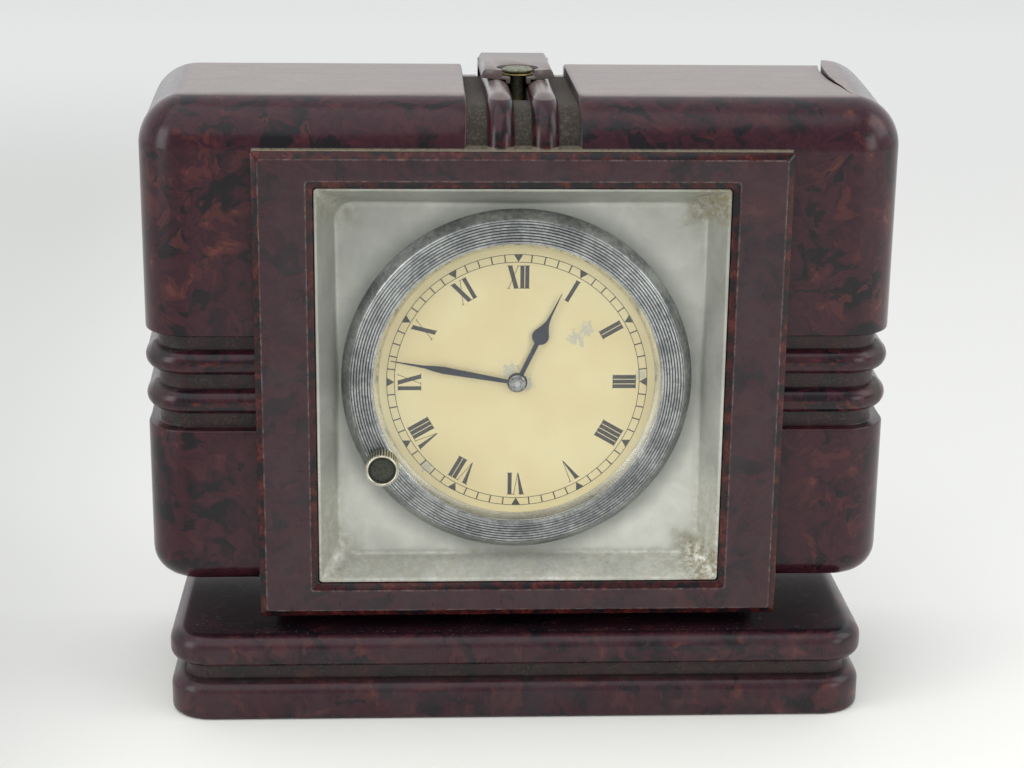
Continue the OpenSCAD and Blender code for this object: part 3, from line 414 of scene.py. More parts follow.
class Paint:
    """Wires the nodes of one material. Patterns read Object coordinates in millimetres."""

    def __init__(self, name: str) -> None:
        """Starts an empty material.

        Args:
            name: the material's name.
        """
        self.material = bpy.data.materials.new(name)
        self.material.use_nodes = True
        self.tree = self.material.node_tree
        self.tree.nodes.clear()
        self.output = self.tree.nodes.new("ShaderNodeOutputMaterial")
        coordinates = self.tree.nodes.new("ShaderNodeTexCoord")
        scale = self.tree.nodes.new("ShaderNodeVectorMath")
        scale.operation = "SCALE"
        scale.inputs["Scale"].default_value = 1 / MM
        self.tree.links.new(coordinates.outputs["Object"], scale.inputs[0])
        self.place = scale.outputs["Vector"]
        self.parts: Optional[bpy.types.Node] = None

    def put(self, socket: Socket, value: object) -> None:
        """Links a socket to value, or sets it where value is a plain one."""
        if isinstance(value, Socket):
            self.tree.links.new(value, socket)
        elif value is not None:
            socket.default_value = value

    def axis(self, index: int) -> Socket:
        """Returns one coordinate in millimetres."""
        if self.parts is None:
            self.parts = self.tree.nodes.new("ShaderNodeSeparateXYZ")
            self.put(self.parts.inputs[0], self.place)
        return self.parts.outputs[index]

    def upward(self) -> Socket:
        """Finds how far the surface faces up.

        Returns:
            A value from -1 to 1.
        """
        geometry = self.tree.nodes.new("ShaderNodeNewGeometry")
        split = self.tree.nodes.new("ShaderNodeSeparateXYZ")
        self.put(split.inputs[0], geometry.outputs["Normal"])
        return split.outputs[2]

    def math(self, operation: str, first: object, second: object = None, third: object = None,
             clamp: bool = False) -> Socket:
        """Adds a Math node.

        Args:
            operation: its operation.
            first: first value or socket.
            second: second value or socket.
            third: third value or socket.
            clamp: whether the result is held between 0 and 1.

        Returns:
            Its output.
        """
        node = self.tree.nodes.new("ShaderNodeMath")
        node.operation = operation
        node.use_clamp = clamp
        for socket, value in zip(node.inputs, (first, second, third)):
            self.put(socket, value)
        return node.outputs[0]

    def map(self, value: object, low: float, high: float, start: float = 0.0,
            end: float = 1.0) -> Socket:
        """Maps a value from low and high to start and end, smoothly and held between them.

        Args:
            value: the value or socket.
            low: value that gives start.
            high: value that gives end.
            start: result at low.
            end: result at high.

        Returns:
            The mapped value.
        """
        node = self.tree.nodes.new("ShaderNodeMapRange")
        node.interpolation_type = "SMOOTHSTEP"
        self.put(node.inputs["Value"], value)
        for name, number in (("From Min", low), ("From Max", high), ("To Min", start), ("To Max", end)):
            node.inputs[name].default_value = number
        return node.outputs["Result"]

    def stretch(self, scale: Place, shift: Place = (0, 0, 0), source: object = None) -> Socket:
        """Scales and moves the pattern's coordinates.

        Args:
            scale: factor along each axis.
            shift: step along each axis.
            source: coordinates, or None for the plain ones.

        Returns:
            The new coordinates.
        """
        node = self.tree.nodes.new("ShaderNodeMapping")
        self.put(node.inputs["Vector"], source or self.place)
        node.inputs["Scale"].default_value = scale
        node.inputs["Location"].default_value = shift
        return node.outputs[0]

    def noise(self, size: float, detail: float = 3.0, rough: float = 0.5, warp: float = 0.0,
              source: object = None, colour: bool = False) -> Socket:
        """Adds noise.

        Args:
            size: size of its features in millimetres.
            detail: number of finer layers.
            rough: strength of the finer layers.
            warp: distortion.
            source: coordinates, or None for the plain ones.
            colour: whether the colour is wanted, and not the single value.

        Returns:
            The noise.
        """
        node = self.tree.nodes.new("ShaderNodeTexNoise")
        self.put(node.inputs["Vector"], source or self.place)
        node.inputs["Scale"].default_value = 1 / size
        node.inputs["Detail"].default_value = detail
        node.inputs["Roughness"].default_value = rough
        node.inputs["Distortion"].default_value = warp
        return node.outputs["Color" if colour else "Fac"]

    def flecks(self, size: float, soft: float, source: object = None) -> Socket:
        """Adds patches with one random value each.

        Args:
            size: size of the patches in millimetres.
            soft: how softly they meet, from 0 to 1.
            source: coordinates, or None for the plain ones.

        Returns:
            The values, from about -0.5 to 0.5.
        """
        node = self.tree.nodes.new("ShaderNodeTexVoronoi")
        node.feature = "SMOOTH_F1"
        self.put(node.inputs["Vector"], source or self.place)
        node.inputs["Scale"].default_value = 1 / size
        node.inputs["Smoothness"].default_value = soft
        return self.math("SUBTRACT", node.outputs["Color"], 0.5)

    def bent(self, size: float, reach: float, source: object = None) -> Socket:
        """Bends the coordinates with noise.

        Args:
            size: size of the bends in millimetres.
            reach: how far they move a point.
            source: coordinates, or None for the plain ones.

        Returns:
            The bent coordinates.
        """
        start = source or self.place
        wave = self.noise(size, 2.0, 0.5, source=start, colour=True)
        node = self.tree.nodes.new("ShaderNodeVectorMath")
        node.operation = "MULTIPLY_ADD"
        self.put(node.inputs[0], wave)
        node.inputs[1].default_value = (2 * reach, 2 * reach, 2 * reach)
        self.put(node.inputs[2], start)
        return node.outputs[0]

    def ramp(self, value: object, stops: Sequence[tuple[float, Place]]) -> Socket:
        """Turns a value into colours.

        Args:
            value: the value or socket.
            stops: position and colour of each stop.

        Returns:
            The colour.
        """
        node = self.tree.nodes.new("ShaderNodeValToRGB")
        self.put(node.inputs[0], value)
        elements = node.color_ramp.elements
        while len(elements) < len(stops):
            elements.new(0.5)
        for element, (position, colour) in zip(elements, stops):
            element.position = position
            element.color = (*colour, 1)
        return node.outputs[0]

    def blend(self, share: object, first: object, second: object) -> Socket:
        """Mixes two colours.

        Args:
            share: how much of the second.
            first: colour or socket.
            second: colour or socket.

        Returns:
            The mixed colour.
        """
        node = self.tree.nodes.new("ShaderNodeMix")
        node.data_type = "RGBA"
        self.put(node.inputs["Factor"], share)
        for socket, value in ((node.inputs[6], first), (node.inputs[7], second)):
            self.put(socket, (*value, 1) if isinstance(value, tuple) else value)
        return node.outputs[2]

    def within(self, index: int, low: float, high: float, edge: float) -> Socket:
        """Marks the space between two places along an axis.

        Args:
            index: the axis.
            low: where it starts.
            high: where it ends.
            edge: width of its soft edges.

        Returns:
            1 inside and 0 outside.
        """
        value = self.axis(index)
        rise = self.map(value, low - edge, low + edge)
        fall = self.map(value, high - edge, high + edge, 1.0, 0.0)
        return self.math("MULTIPLY", rise, fall)

    def from_line(self, x: float, z: float) -> Socket:
        """Measures how far each point is from a line that runs front to back.

        Args:
            x: the line's place across.
            z: its height.

        Returns:
            The distance in millimetres.
        """
        gap = self.tree.nodes.new("ShaderNodeVectorMath")
        gap.operation = "DISTANCE"
        self.put(gap.inputs[0], self.stretch((1.0, 0.0, 1.0)))
        gap.inputs[1].default_value = (x, 0.0, z)
        return gap.outputs["Value"]

    def region(self, low: Place, high: Place, edge: float) -> Socket:
        """Marks a box.

        Args:
            low: lowest corner.
            high: highest corner.
            edge: width of its soft edges.

        Returns:
            1 inside and 0 outside.
        """
        marks = [self.within(index, low[index], high[index], edge) for index in range(3)]
        return self.math("MULTIPLY", self.math("MULTIPLY", marks[0], marks[1]), marks[2])

    def most(self, marks: Sequence[Socket]) -> Socket:
        """Finds the greatest of several marks.

        Args:
            marks: the marks.

        Returns:
            The greatest value.
        """
        result = marks[0]
        for mark in marks[1:]:
            result = self.math("MAXIMUM", result, mark)
        return result

    def bump(self, height: object, distance: float, below: object = None) -> Socket:
        """Raises the surface's relief.

        Args:
            height: height from 0 to 1.
            distance: height in millimetres of a value of 1.
            below: normal of the relief under this one.

        Returns:
            The normal.
        """
        node = self.tree.nodes.new("ShaderNodeBump")
        node.inputs["Distance"].default_value = distance * MM
        self.put(node.inputs["Height"], height)
        if below is not None:
            self.put(node.inputs["Normal"], below)
        return node.outputs[0]

    def surface(self, **values: object) -> Material:
        """Ends the material in one Principled shader.

        Args:
            values: its inputs by name, with underscores for spaces.

        Returns:
            The material.
        """
        shader = self.tree.nodes.new("ShaderNodeBsdfPrincipled")
        for name, value in values.items():
            socket = shader.inputs[name.replace("_", " ")]
            self.put(socket, (*value, 1) if isinstance(value, tuple) and len(value) == 3 else value)
        self.put(self.output.inputs["Surface"], shader.outputs[0])
        return self.material


@dataclass(frozen=True)
class MottledMoulding:
    """Polished dark moulding with maroon, brick and black mottling, dusty in its corners, with painted shade
    in its recesses and on the plinth's top, and a painted sheen on its top.
    """

    name: str = "mottled_moulding"
    black: Place = (0.0070, 0.0060, 0.0085)
    maroon: Place = (0.026, 0.0075, 0.0130)
    wine: Place = (0.042, 0.0110, 0.0175)
    brick: Place = (0.070, 0.0175, 0.0180)
    orange: Place = (0.120, 0.035, 0.0260)
    deep: Place = (0.037, 0.0065, 0.0070)
    flame: Place = (0.092, 0.018, 0.0135)
    haze: Place = (0.056, 0.040, 0.045)
    # Grey of the painted sheen on the top.
    painted_sheen: Place = (0.36, 0.315, 0.29)
    dust: Place = (0.30, 0.27, 0.20)
    # Pale colour of the panel's edge line: wear and painted highlight.
    wear_and_highlight: Place = (0.17, 0.125, 0.12)
    # Near black of the reed band and the plinth's groove: dirt and painted shade.
    grime_and_shade: Place = (0.020, 0.016, 0.016)
    silt: Place = (0.050, 0.044, 0.036)
    grit: Place = (0.170, 0.148, 0.112)
    gloss: float = 0.19

    def mottling(self, paint: Paint) -> Socket:
        """Paints the mottling of the moulding itself: dark swirls, with brick patches near the outer corners.

        Args:
            paint: the material's nodes.

        Returns:
            The colour.
        """
        bent = paint.bent(11.0, 6.0)
        fine = paint.bent(2.2, 1.3, bent)
        swirl = paint.noise(8.0, 4.0, 0.60, source=fine)
        grain = paint.math("SUBTRACT", paint.noise(0.7, 3.0, 0.6), 0.5)
        mixed = paint.math("MULTIPLY_ADD", paint.flecks(4.6, 0.22, fine), 0.20, swirl)
        mixed = paint.math("MULTIPLY_ADD", grain, 0.10, mixed)
        colour = paint.ramp(mixed, [(0.35, self.black), (0.43, self.maroon), (0.53, self.wine),
                                    (0.60, self.maroon), (0.68, self.wine)])
        moved = paint.stretch((1.0, 1.0, 1.0), (31.0, 17.0, 9.0), fine)
        patches = paint.math("MULTIPLY_ADD", paint.flecks(3.8, 0.30, moved), 0.20,
                             paint.noise(4.6, 3.0, 0.55, source=moved))
        wide = paint.noise(48.0, 2.0, 0.5)
        left = paint.math("MULTIPLY", paint.map(paint.axis(0), -48.0, -66.0),
                          paint.map(paint.axis(2), 78.0, 112.0, 0.35, 1.0))
        wing = paint.map(paint.axis(0), 56.0, 68.0, 0.0, 0.9)
        plinth = paint.map(paint.axis(2), 22.0, 17.0, 0.0, 0.85)
        where = paint.most([left, wing, plinth, paint.map(wide, 0.50, 0.64, 0.22, 0.7)])
        brick = paint.math("MULTIPLY", paint.map(patches, 0.55, 0.62), paint.math("MULTIPLY", where, 0.85))
        colour = paint.blend(brick, colour, self.brick)
        core = paint.math("MULTIPLY", paint.map(patches, 0.68, 0.73), where)
        colour = paint.blend(paint.math("MULTIPLY", core, 0.75), colour, self.orange)
        smears = paint.noise(6.0, 3.0, 0.5, 0.6,
                             source=paint.stretch((0.6, 1.0, 1.0), (7.0, 3.0, 21.0), fine))
        return paint.blend(paint.math("MULTIPLY", paint.map(smears, 0.60, 0.64), 0.9), colour, self.black)

    def cut(self, paint: Paint) -> Socket:
        """Paints the polished bevels of the panel, where the mottling is deep red and black.

        Args:
            paint: the material's nodes.

        Returns:
            The colour.
        """
        bent = paint.bent(2.0, 0.9)
        blots = paint.math("MULTIPLY_ADD", paint.flecks(2.3, 0.25, bent), 0.22,
                           paint.noise(3.0, 3.0, 0.6, source=bent))
        return paint.ramp(blots, [(0.43, self.black), (0.49, self.deep), (0.58, self.deep),
                                  (0.65, self.flame), (0.71, self.deep)])

    def channel(self, paint: Paint) -> Socket:
        """Marks the floor and the walls of the channel, but not the ribs in it.

        Args:
            paint: the material's nodes.

        Returns:
            1 where they are and 0 elsewhere.
        """
        ahead = paint.math("MINIMUM", paint.math("ADD", paint.axis(1), 13.55), 0.0)
        above = paint.math("MAXIMUM", paint.math("SUBTRACT", paint.axis(2), 126.7), 0.0)
        square = paint.math("MULTIPLY_ADD", above, above, paint.math("MULTIPLY", ahead, ahead))
        reach = paint.math("SQRT", square)
        across = paint.math("ABSOLUTE", paint.axis(0))
        floor = paint.map(reach, 9.0, 9.5, 1.0, 0.0)
        wall = paint.math("MULTIPLY", paint.map(across, 11.5, 11.8), paint.map(reach, 10.6, 11.0, 0.8, 0.0))
        inside = paint.math("MULTIPLY", paint.map(across, 12.05, 12.3, 1.0, 0.0),
                            paint.within(1, -30.0, 28.6, 0.3))
        inside = paint.math("MULTIPLY", inside, paint.map(paint.axis(2), 126.6, 127.0))
        return paint.math("MULTIPLY", inside, paint.math("MAXIMUM", floor, wall))

    def corners(self, paint: Paint) -> Socket:
        """Marks the ledges and corners where pale dust lies.

        Args:
            paint: the material's nodes.

        Returns:
            1 where it is thick and 0 where there is none.
        """
        speck = paint.noise(0.8, 4.0, 0.75)
        ledges = paint.most([
            paint.region((-57.3, -26.1, 126.9), (57.3, -23.9, 127.45), 0.2),
            paint.region((-12.3, -24.8, 126.7), (12.3, -21.6, 127.7), 0.3),
        ])
        thick = paint.math("MULTIPLY", ledges, paint.map(speck, 0.25, 0.60, 0.35, 0.85))
        plinth = paint.region((-74.0, -30.5, 19.3), (74.0, 34.0, 20.0), 0.2)
        lint = paint.noise(0.42, 4.0, 0.8, source=paint.stretch((0.5, 1.0, 1.0)))
        thin = paint.math("MULTIPLY", paint.map(lint, 0.62, 0.70),
                          paint.map(paint.noise(7.0, 3.0, 0.6), 0.42, 0.62))
        return paint.math("MAXIMUM", thick, paint.math("MULTIPLY", plinth, paint.math("MULTIPLY", thin, 0.6)))

    def material(self) -> Material:
        """Builds the material.

        Returns:
            The material.
        """
        paint = Paint(self.name)
        colour = self.mottling(paint)
        tall = paint.within(2, 21.0, 129.0, 0.5)
        bevel = paint.math("MULTIPLY", paint.within(1, -27.70, -24.70, 0.02), tall)
        colour = paint.blend(bevel, colour, self.cut(paint))
        face = paint.math("MULTIPLY", paint.within(1, -28.5, -27.72, 0.02), tall)
        wear_and_shade = paint.noise(9.0, 5.0, 0.65)
        haze = paint.math("MULTIPLY", face, paint.map(wear_and_shade, 0.28, 0.72, 0.16, 0.46))
        fine = paint.map(paint.noise(0.30, 3.0, 0.7), 0.58, 0.72)
        haze = paint.math("MULTIPLY_ADD", paint.math("MULTIPLY", face, fine), 0.30, haze)
        foot = paint.math("MULTIPLY", paint.map(paint.axis(2), 19.3, 18.4),
                          paint.map(wear_and_shade, 0.30, 0.70, 0.04, 0.34))
        haze = paint.math("MAXIMUM", haze, foot)
        colour = paint.blend(haze, colour, self.haze)
        # Painted shade: the plinth's top under the case is darkened nearly to black, patchily.
        plinth_top_shade = paint.region((-74.5, -30.0, 19.2), (74.5, 40.0, 20.0), 0.5)
        colour = paint.blend(paint.math("MULTIPLY", plinth_top_shade, paint.map(wear_and_shade, 0.30, 0.65, 0.95, 0.45)), colour,
                             self.black)
        # Wear and painted highlight: a thin pale line along the rounded edges of the panel's face.
        edge = paint.math("MULTIPLY", paint.within(1, -27.735, -27.64, 0.02), tall)
        chips_and_highlight = paint.map(paint.noise(1.6, 4.0, 0.75), 0.40, 0.66, 0.15, 0.75)
        colour = paint.blend(paint.math("MULTIPLY", edge, chips_and_highlight), colour, self.wear_and_highlight)
        # Painted sheen: upward faces of the top, and the cover's tongue, are paled towards grey, standing in
        # for the top's reflection.
        up = paint.map(paint.upward(), 0.955, 0.999)
        streaks = paint.noise(3.2, 5.0, 0.68, source=paint.stretch((0.22, 1.0, 1.0)))
        top = paint.math("MULTIPLY", up, paint.within(2, 136.5, 141.5, 0.5))
        top = paint.math("MULTIPLY", top, paint.map(streaks, 0.28, 0.72, 0.40, 0.70))
        tongue = paint.math("MULTIPLY", paint.region((-8.9, -40.0, 136.9), (8.9, 30.0, 141.5), 0.15), 0.30)
        colour = paint.blend(paint.math("MAXIMUM", top, tongue), colour, self.painted_sheen)
        channel = self.channel(paint)
        # Dirt and painted shade: the sunk reed band and the plinth's groove are darkened nearly to black with
        # pale specks; the channel gets grey dust.
        recess = paint.most([
            paint.region((-80.5, -22.6, 65.4), (80.5, -13.0, 86.2), 0.25),
            paint.region((-90.0, -40.0, 8.5), (90.0, 40.0, 12.7), 0.3),
        ])
        dirt = paint.noise(3.0, 5.0, 0.65)
        speckle = paint.map(paint.noise(0.55, 4.0, 0.75), 0.45, 0.68)
        grime_and_shade_share = paint.most([paint.math("MULTIPLY", recess, paint.map(dirt, 0.3, 0.7, 0.30, 0.80)),
                            paint.math("MULTIPLY", channel, paint.map(dirt, 0.3, 0.6, 0.55, 0.95))])
        crust = paint.math("MULTIPLY_ADD", channel, 0.35, paint.map(dirt, 0.35, 0.60, 0.04, 0.40))
        base = paint.blend(channel, self.grime_and_shade, self.silt)
        soil_and_shade = paint.blend(paint.math("MULTIPLY", speckle, crust), base, self.grit)
        colour = paint.blend(grime_and_shade_share, colour, soil_and_shade)
        dust = self.corners(paint)
        colour = paint.blend(dust, colour, self.dust)
        dull = paint.most([haze, grime_and_shade_share, dust])
        scratch = paint.noise(0.6, 4.0, 0.7, source=paint.stretch((1.0, 1.0, 0.12)))
        gloss = paint.math("MULTIPLY_ADD", paint.map(scratch, 0.3, 0.75), 0.08, self.gloss)
        gloss = paint.math("MULTIPLY_ADD", top, 0.25, gloss)
        gloss = paint.math("MULTIPLY_ADD", bevel, -0.07, gloss)
        gloss = paint.math("MULTIPLY_ADD", channel, 0.30, gloss)
        rough = paint.math("MULTIPLY_ADD", dull, 0.32, gloss, clamp=True)
        relief = paint.bump(paint.noise(0.5, 3.0, 0.6), 0.010)
        wave = paint.bump(paint.noise(26.0, 2.0, 0.5), 0.09, relief)
        return paint.surface(Base_Color=colour, Roughness=rough, IOR=1.46, Specular_IOR_Level=0.36,
                             Normal=wave)


@dataclass(frozen=True)
class WornMetal:
    """Metal with clouding, fine scratches and small dents."""

    name: str
    colour: Place
    dark: Place
    rough: float = 0.35
    cloud: float = 6.0
    grain: float = 0.4
    relief: float = 0.02
    metallic: float = 1.0
    spread: float = 0.15

    def material(self) -> Material:
        """Builds the material.

        Returns:
            The material.
        """
        paint = Paint(self.name)
        clouds = paint.noise(self.cloud, 5.0, 0.6, 0.4)
        grain = paint.noise(self.grain, 3.0, 0.7)
        mixed = paint.math("MULTIPLY_ADD", grain, 0.35, paint.math("MULTIPLY", clouds, 0.65))
        colour = paint.ramp(mixed, [(0.36, self.dark), (0.60, self.colour)])
        rough = paint.math("MULTIPLY_ADD", clouds, self.spread, self.rough - self.spread / 2)
        normal = paint.bump(mixed, self.relief)
        return paint.surface(Base_Color=colour, Metallic=self.metallic, Roughness=rough, Normal=normal)


@dataclass(frozen=True)
class PressedTray:
    """Dull pale sheet metal with stains in its corners and a few scratches, and with painted shade towards
    its top, its left and round the clock.
    """

    name: str = "pressed_tray"
    pale: Place = (0.66, 0.665, 0.60)
    dim: Place = (0.50, 0.51, 0.465)
    stain: Place = (0.23, 0.20, 0.11)
    speck: Place = (0.09, 0.085, 0.07)
    shaded: Place = (0.10, 0.105, 0.10)
    # Colour of the painted shadow round the clock's ring.
    ring_shadow: Place = (0.11, 0.12, 0.115)

    def material(self) -> Material:
        """Builds the material.

        Returns:
            The material.
        """
        paint = Paint(self.name)
        clouds = paint.noise(12.0, 5.0, 0.62, 0.4)
        colour = paint.blend(paint.map(clouds, 0.28, 0.72), self.dim, self.pale)
        # Painted shade: the tray is darkened towards its top and towards its left.
        lower = paint.map(paint.axis(2), 112.0, 40.0, 0.66, 1.0)
        wear_and_shade = paint.math("MULTIPLY", lower, paint.map(paint.axis(0), -40.0, 30.0, 0.88, 1.0))
        colour = paint.blend(paint.math("SUBTRACT", 1.0, wear_and_shade), colour, self.shaded)
        # Painted shadow: the floor of the tray is darkened in a band round the clock's ring.
        ring = paint.map(paint.from_line(Dial.x, Dial.z), 38.0, 43.5, 0.62, 0.0)
        floor = paint.map(paint.axis(1), -20.4, -19.6)
        colour = paint.blend(paint.math("MULTIPLY", ring, floor), colour, self.ring_shadow)
        specks = paint.map(paint.noise(0.45, 2.0, 0.6), 0.70, 0.78)
        colour = paint.blend(paint.math("MULTIPLY", specks, 0.6), colour, self.speck)
        across = paint.math("ABSOLUTE", paint.axis(0))
        high = paint.math("ABSOLUTE", paint.math("SUBTRACT", paint.axis(2), Dial.z))
        right = paint.map(paint.axis(0), -30.0, 40.0, 0.55, 1.0)
        corner = paint.math("MULTIPLY", paint.map(paint.math("MINIMUM", across, high), 32.5, 39.5), right)
        rim = paint.map(paint.math("MAXIMUM", across, high), 38.4, 40.3)
        low = paint.math("MULTIPLY", rim, paint.map(paint.axis(2), 60.0, 40.0, 0.30, 1.0))
        dirt = paint.math("MAXIMUM", corner, paint.math("MULTIPLY", low, 0.40))
        dirt = paint.math("MULTIPLY", dirt, paint.map(paint.noise(1.9, 5.0, 0.72), 0.36, 0.60, 0.10, 0.90))
        colour = paint.blend(dirt, colour, self.stain)
        crumbs = paint.math("MULTIPLY", paint.map(paint.noise(0.6, 3.0, 0.7), 0.60, 0.66), dirt)
        colour = paint.blend(crumbs, colour, self.speck)
        lines = paint.noise(0.35, 3.0, 0.6, source=paint.stretch((1.0, 1.0, 0.06)))
        rough = paint.math("MULTIPLY_ADD", paint.map(lines, 0.35, 0.7), 0.12, 0.34)
        rough = paint.math("MULTIPLY_ADD", dirt, 0.3, rough, clamp=True)
        metal = paint.math("MULTIPLY_ADD", dirt, -0.6, 0.66, clamp=True)
        dents = paint.bump(paint.noise(10.0, 2.0, 0.5), 0.20)
        normal = paint.bump(paint.noise(0.7, 4.0, 0.7), 0.012, dents)
        return paint.surface(Base_Color=colour, Metallic=metal, Roughness=rough, Normal=normal)


@dataclass(frozen=True)
class CastRing:
    """Cast and turned grey metal, with dirt and painted shade in its grooves, and painted glints that are
    partly bare metal.
    """

    name: str = "cast_ring"
    grey: Place = (0.50, 0.515, 0.51)
    dark: Place = (0.24, 0.25, 0.255)
    glint: Place = (0.88, 0.89, 0.87)
    # Dark of the grooves: dirt and painted shade.
    grime_and_shade: Place = (0.055, 0.056, 0.052)
    pit: Place = (0.06, 0.065, 0.07)
    first: float = 32.2
    last: float = 36.5
    pitch: float = 0.6143

    def material(self) -> Material:
        """Builds the material.

        Returns:
            The material.
        """
        paint = Paint(self.name)
        pits = paint.noise(0.24, 3.0, 0.65)
        blots = paint.noise(1.1, 4.0, 0.7)
        clouds = paint.noise(8.0, 4.0, 0.6)
        mixed = paint.math("MULTIPLY_ADD", blots, 0.5, paint.math("MULTIPLY", clouds, 0.5))
        colour = paint.blend(paint.map(mixed, 0.38, 0.62), self.dark, self.grey)
        colour = paint.blend(paint.map(pits, 0.40, 0.28, 0.0, 0.55), colour, self.pit)
        # Painted glints, partly bare metal: small pale specks set by the pits and the clouds.
        grains = paint.map(paint.noise(0.17, 2.0, 0.6), 0.66, 0.71)
        wear_and_highlight = paint.math("MULTIPLY", paint.map(pits, 0.60, 0.70), paint.map(clouds, 0.40, 0.62))
        wear_and_highlight = paint.math("MAXIMUM", wear_and_highlight, paint.math("MULTIPLY", grains, paint.map(clouds, 0.38, 0.58)))
        colour = paint.blend(wear_and_highlight, colour, self.glint)
        # Dirt and painted shade: the grooves between the ridges are darkened.
        radius = paint.from_line(Dial.x, Dial.z)
        turns = paint.math("FRACT",
                           paint.math("DIVIDE", paint.math("SUBTRACT", radius, self.first), self.pitch))
        groove = paint.map(paint.math("ABSOLUTE", paint.math("SUBTRACT", turns, 0.5)), 0.24, 0.44)
        face = paint.math("MULTIPLY", paint.map(radius, self.first - 0.1, self.first),
                          paint.map(radius, self.last, self.last + 0.1, 1.0, 0.0))
        dirt = paint.math("MULTIPLY", paint.math("MULTIPLY", groove, face), 0.75)
        colour = paint.blend(dirt, colour, self.grime_and_shade)
        rough = paint.math("MULTIPLY_ADD", blots, 0.20, 0.24)
        normal = paint.bump(pits, 0.018, paint.bump(blots, 0.035))
        return paint.surface(Base_Color=colour, Metallic=0.88, Roughness=rough, Normal=normal)


@dataclass(frozen=True)
class DialPaint:
    """Aged cream paint with faint spots, flaked to grey metal in three small places."""

    name: str = "dial_paint"
    cream: Place = (0.735, 0.612, 0.318)
    light: Place = (0.790, 0.690, 0.392)
    bare: Place = (0.50, 0.49, 0.41)
    spot: Place = (0.45, 0.38, 0.22)
    flakes: tuple[tuple[float, float, float], ...] = ((12.9, 9.9, 3.0), (14.9, 11.6, 3.1), (-1.8, 2.4, 3.1),
                                                      (2.0, -0.2, 2.9), (-19.8, -19.4, 2.4), (27.2, 1.5, 1.8))

    def material(self) -> Material:
        """Builds the material.

        Returns:
            The material.
        """
        paint = Paint(self.name)
        aged = paint.noise(18.0, 4.0, 0.55)
        colour = paint.blend(paint.map(aged, 0.3, 0.7), self.cream, self.light)
        spots = paint.map(paint.noise(1.3, 4.0, 0.7), 0.66, 0.78)
        colour = paint.blend(paint.math("MULTIPLY", spots, 0.25), colour, self.spot)
        edge = paint.noise(1.0, 4.0, 0.7)
        marks = []
        for x, z, radius in self.flakes:
            gap = paint.from_line(Dial.x + x, Dial.z + z)
            reach = paint.math("MULTIPLY_ADD", edge, 2.4 * radius, -0.7 * radius)
            marks.append(paint.map(paint.math("SUBTRACT", reach, gap), -0.15, 0.25))
        flaked = paint.math("MULTIPLY", paint.most(marks), 0.8)
        colour = paint.blend(flaked, colour, self.bare)
        rough = paint.math("MULTIPLY_ADD", aged, 0.2, 0.38)
        normal = paint.bump(flaked, -0.03, paint.bump(paint.noise(0.4, 3.0, 0.6), 0.004))
        return paint.surface(Base_Color=colour, Roughness=rough, Normal=normal)


@dataclass(frozen=True)
class PlainFinish:
    """One colour with slight clouding, for ink, dust and dull parts."""

    name: str
    colour: Place
    other: Place
    rough: float = 0.5
    size: float = 1.5
    metallic: float = 0.0

    def material(self) -> Material:
        """Builds the material.

        Returns:
            The material.
        """
        paint = Paint(self.name)
        clouds = paint.noise(self.size, 4.0, 0.65)
        colour = paint.blend(paint.map(clouds, 0.3, 0.7), self.colour, self.other)
        rough = paint.math("MULTIPLY_ADD", clouds, 0.2, self.rough - 0.1)
        return paint.surface(Base_Color=colour, Metallic=self.metallic, Roughness=rough,
                             Normal=paint.bump(clouds, 0.01))


@dataclass(frozen=True)
class WindowGlass:
    """Clear glass that lets lamps through."""

    name: str = "clock_glass"
    tint: Place = (0.985, 0.995, 0.99)

    def material(self) -> Material:
        """Builds the material.

        Returns:
            The material.
        """
        paint = Paint(self.name)
        material = paint.surface(Base_Color=self.tint, Roughness=0.015, IOR=1.5, Transmission_Weight=1.0)
        shader = next(node for node in paint.tree.nodes if node.type == "BSDF_PRINCIPLED")
        rays = paint.tree.nodes.new("ShaderNodeLightPath")
        clear = paint.tree.nodes.new("ShaderNodeBsdfTransparent")
        mix = paint.tree.nodes.new("ShaderNodeMixShader")
        paint.put(mix.inputs[0], rays.outputs["Is Shadow Ray"])
        paint.put(mix.inputs[1], shader.outputs[0])
        paint.put(mix.inputs[2], clear.outputs[0])
        paint.put(paint.output.inputs["Surface"], mix.outputs[0])
        return material


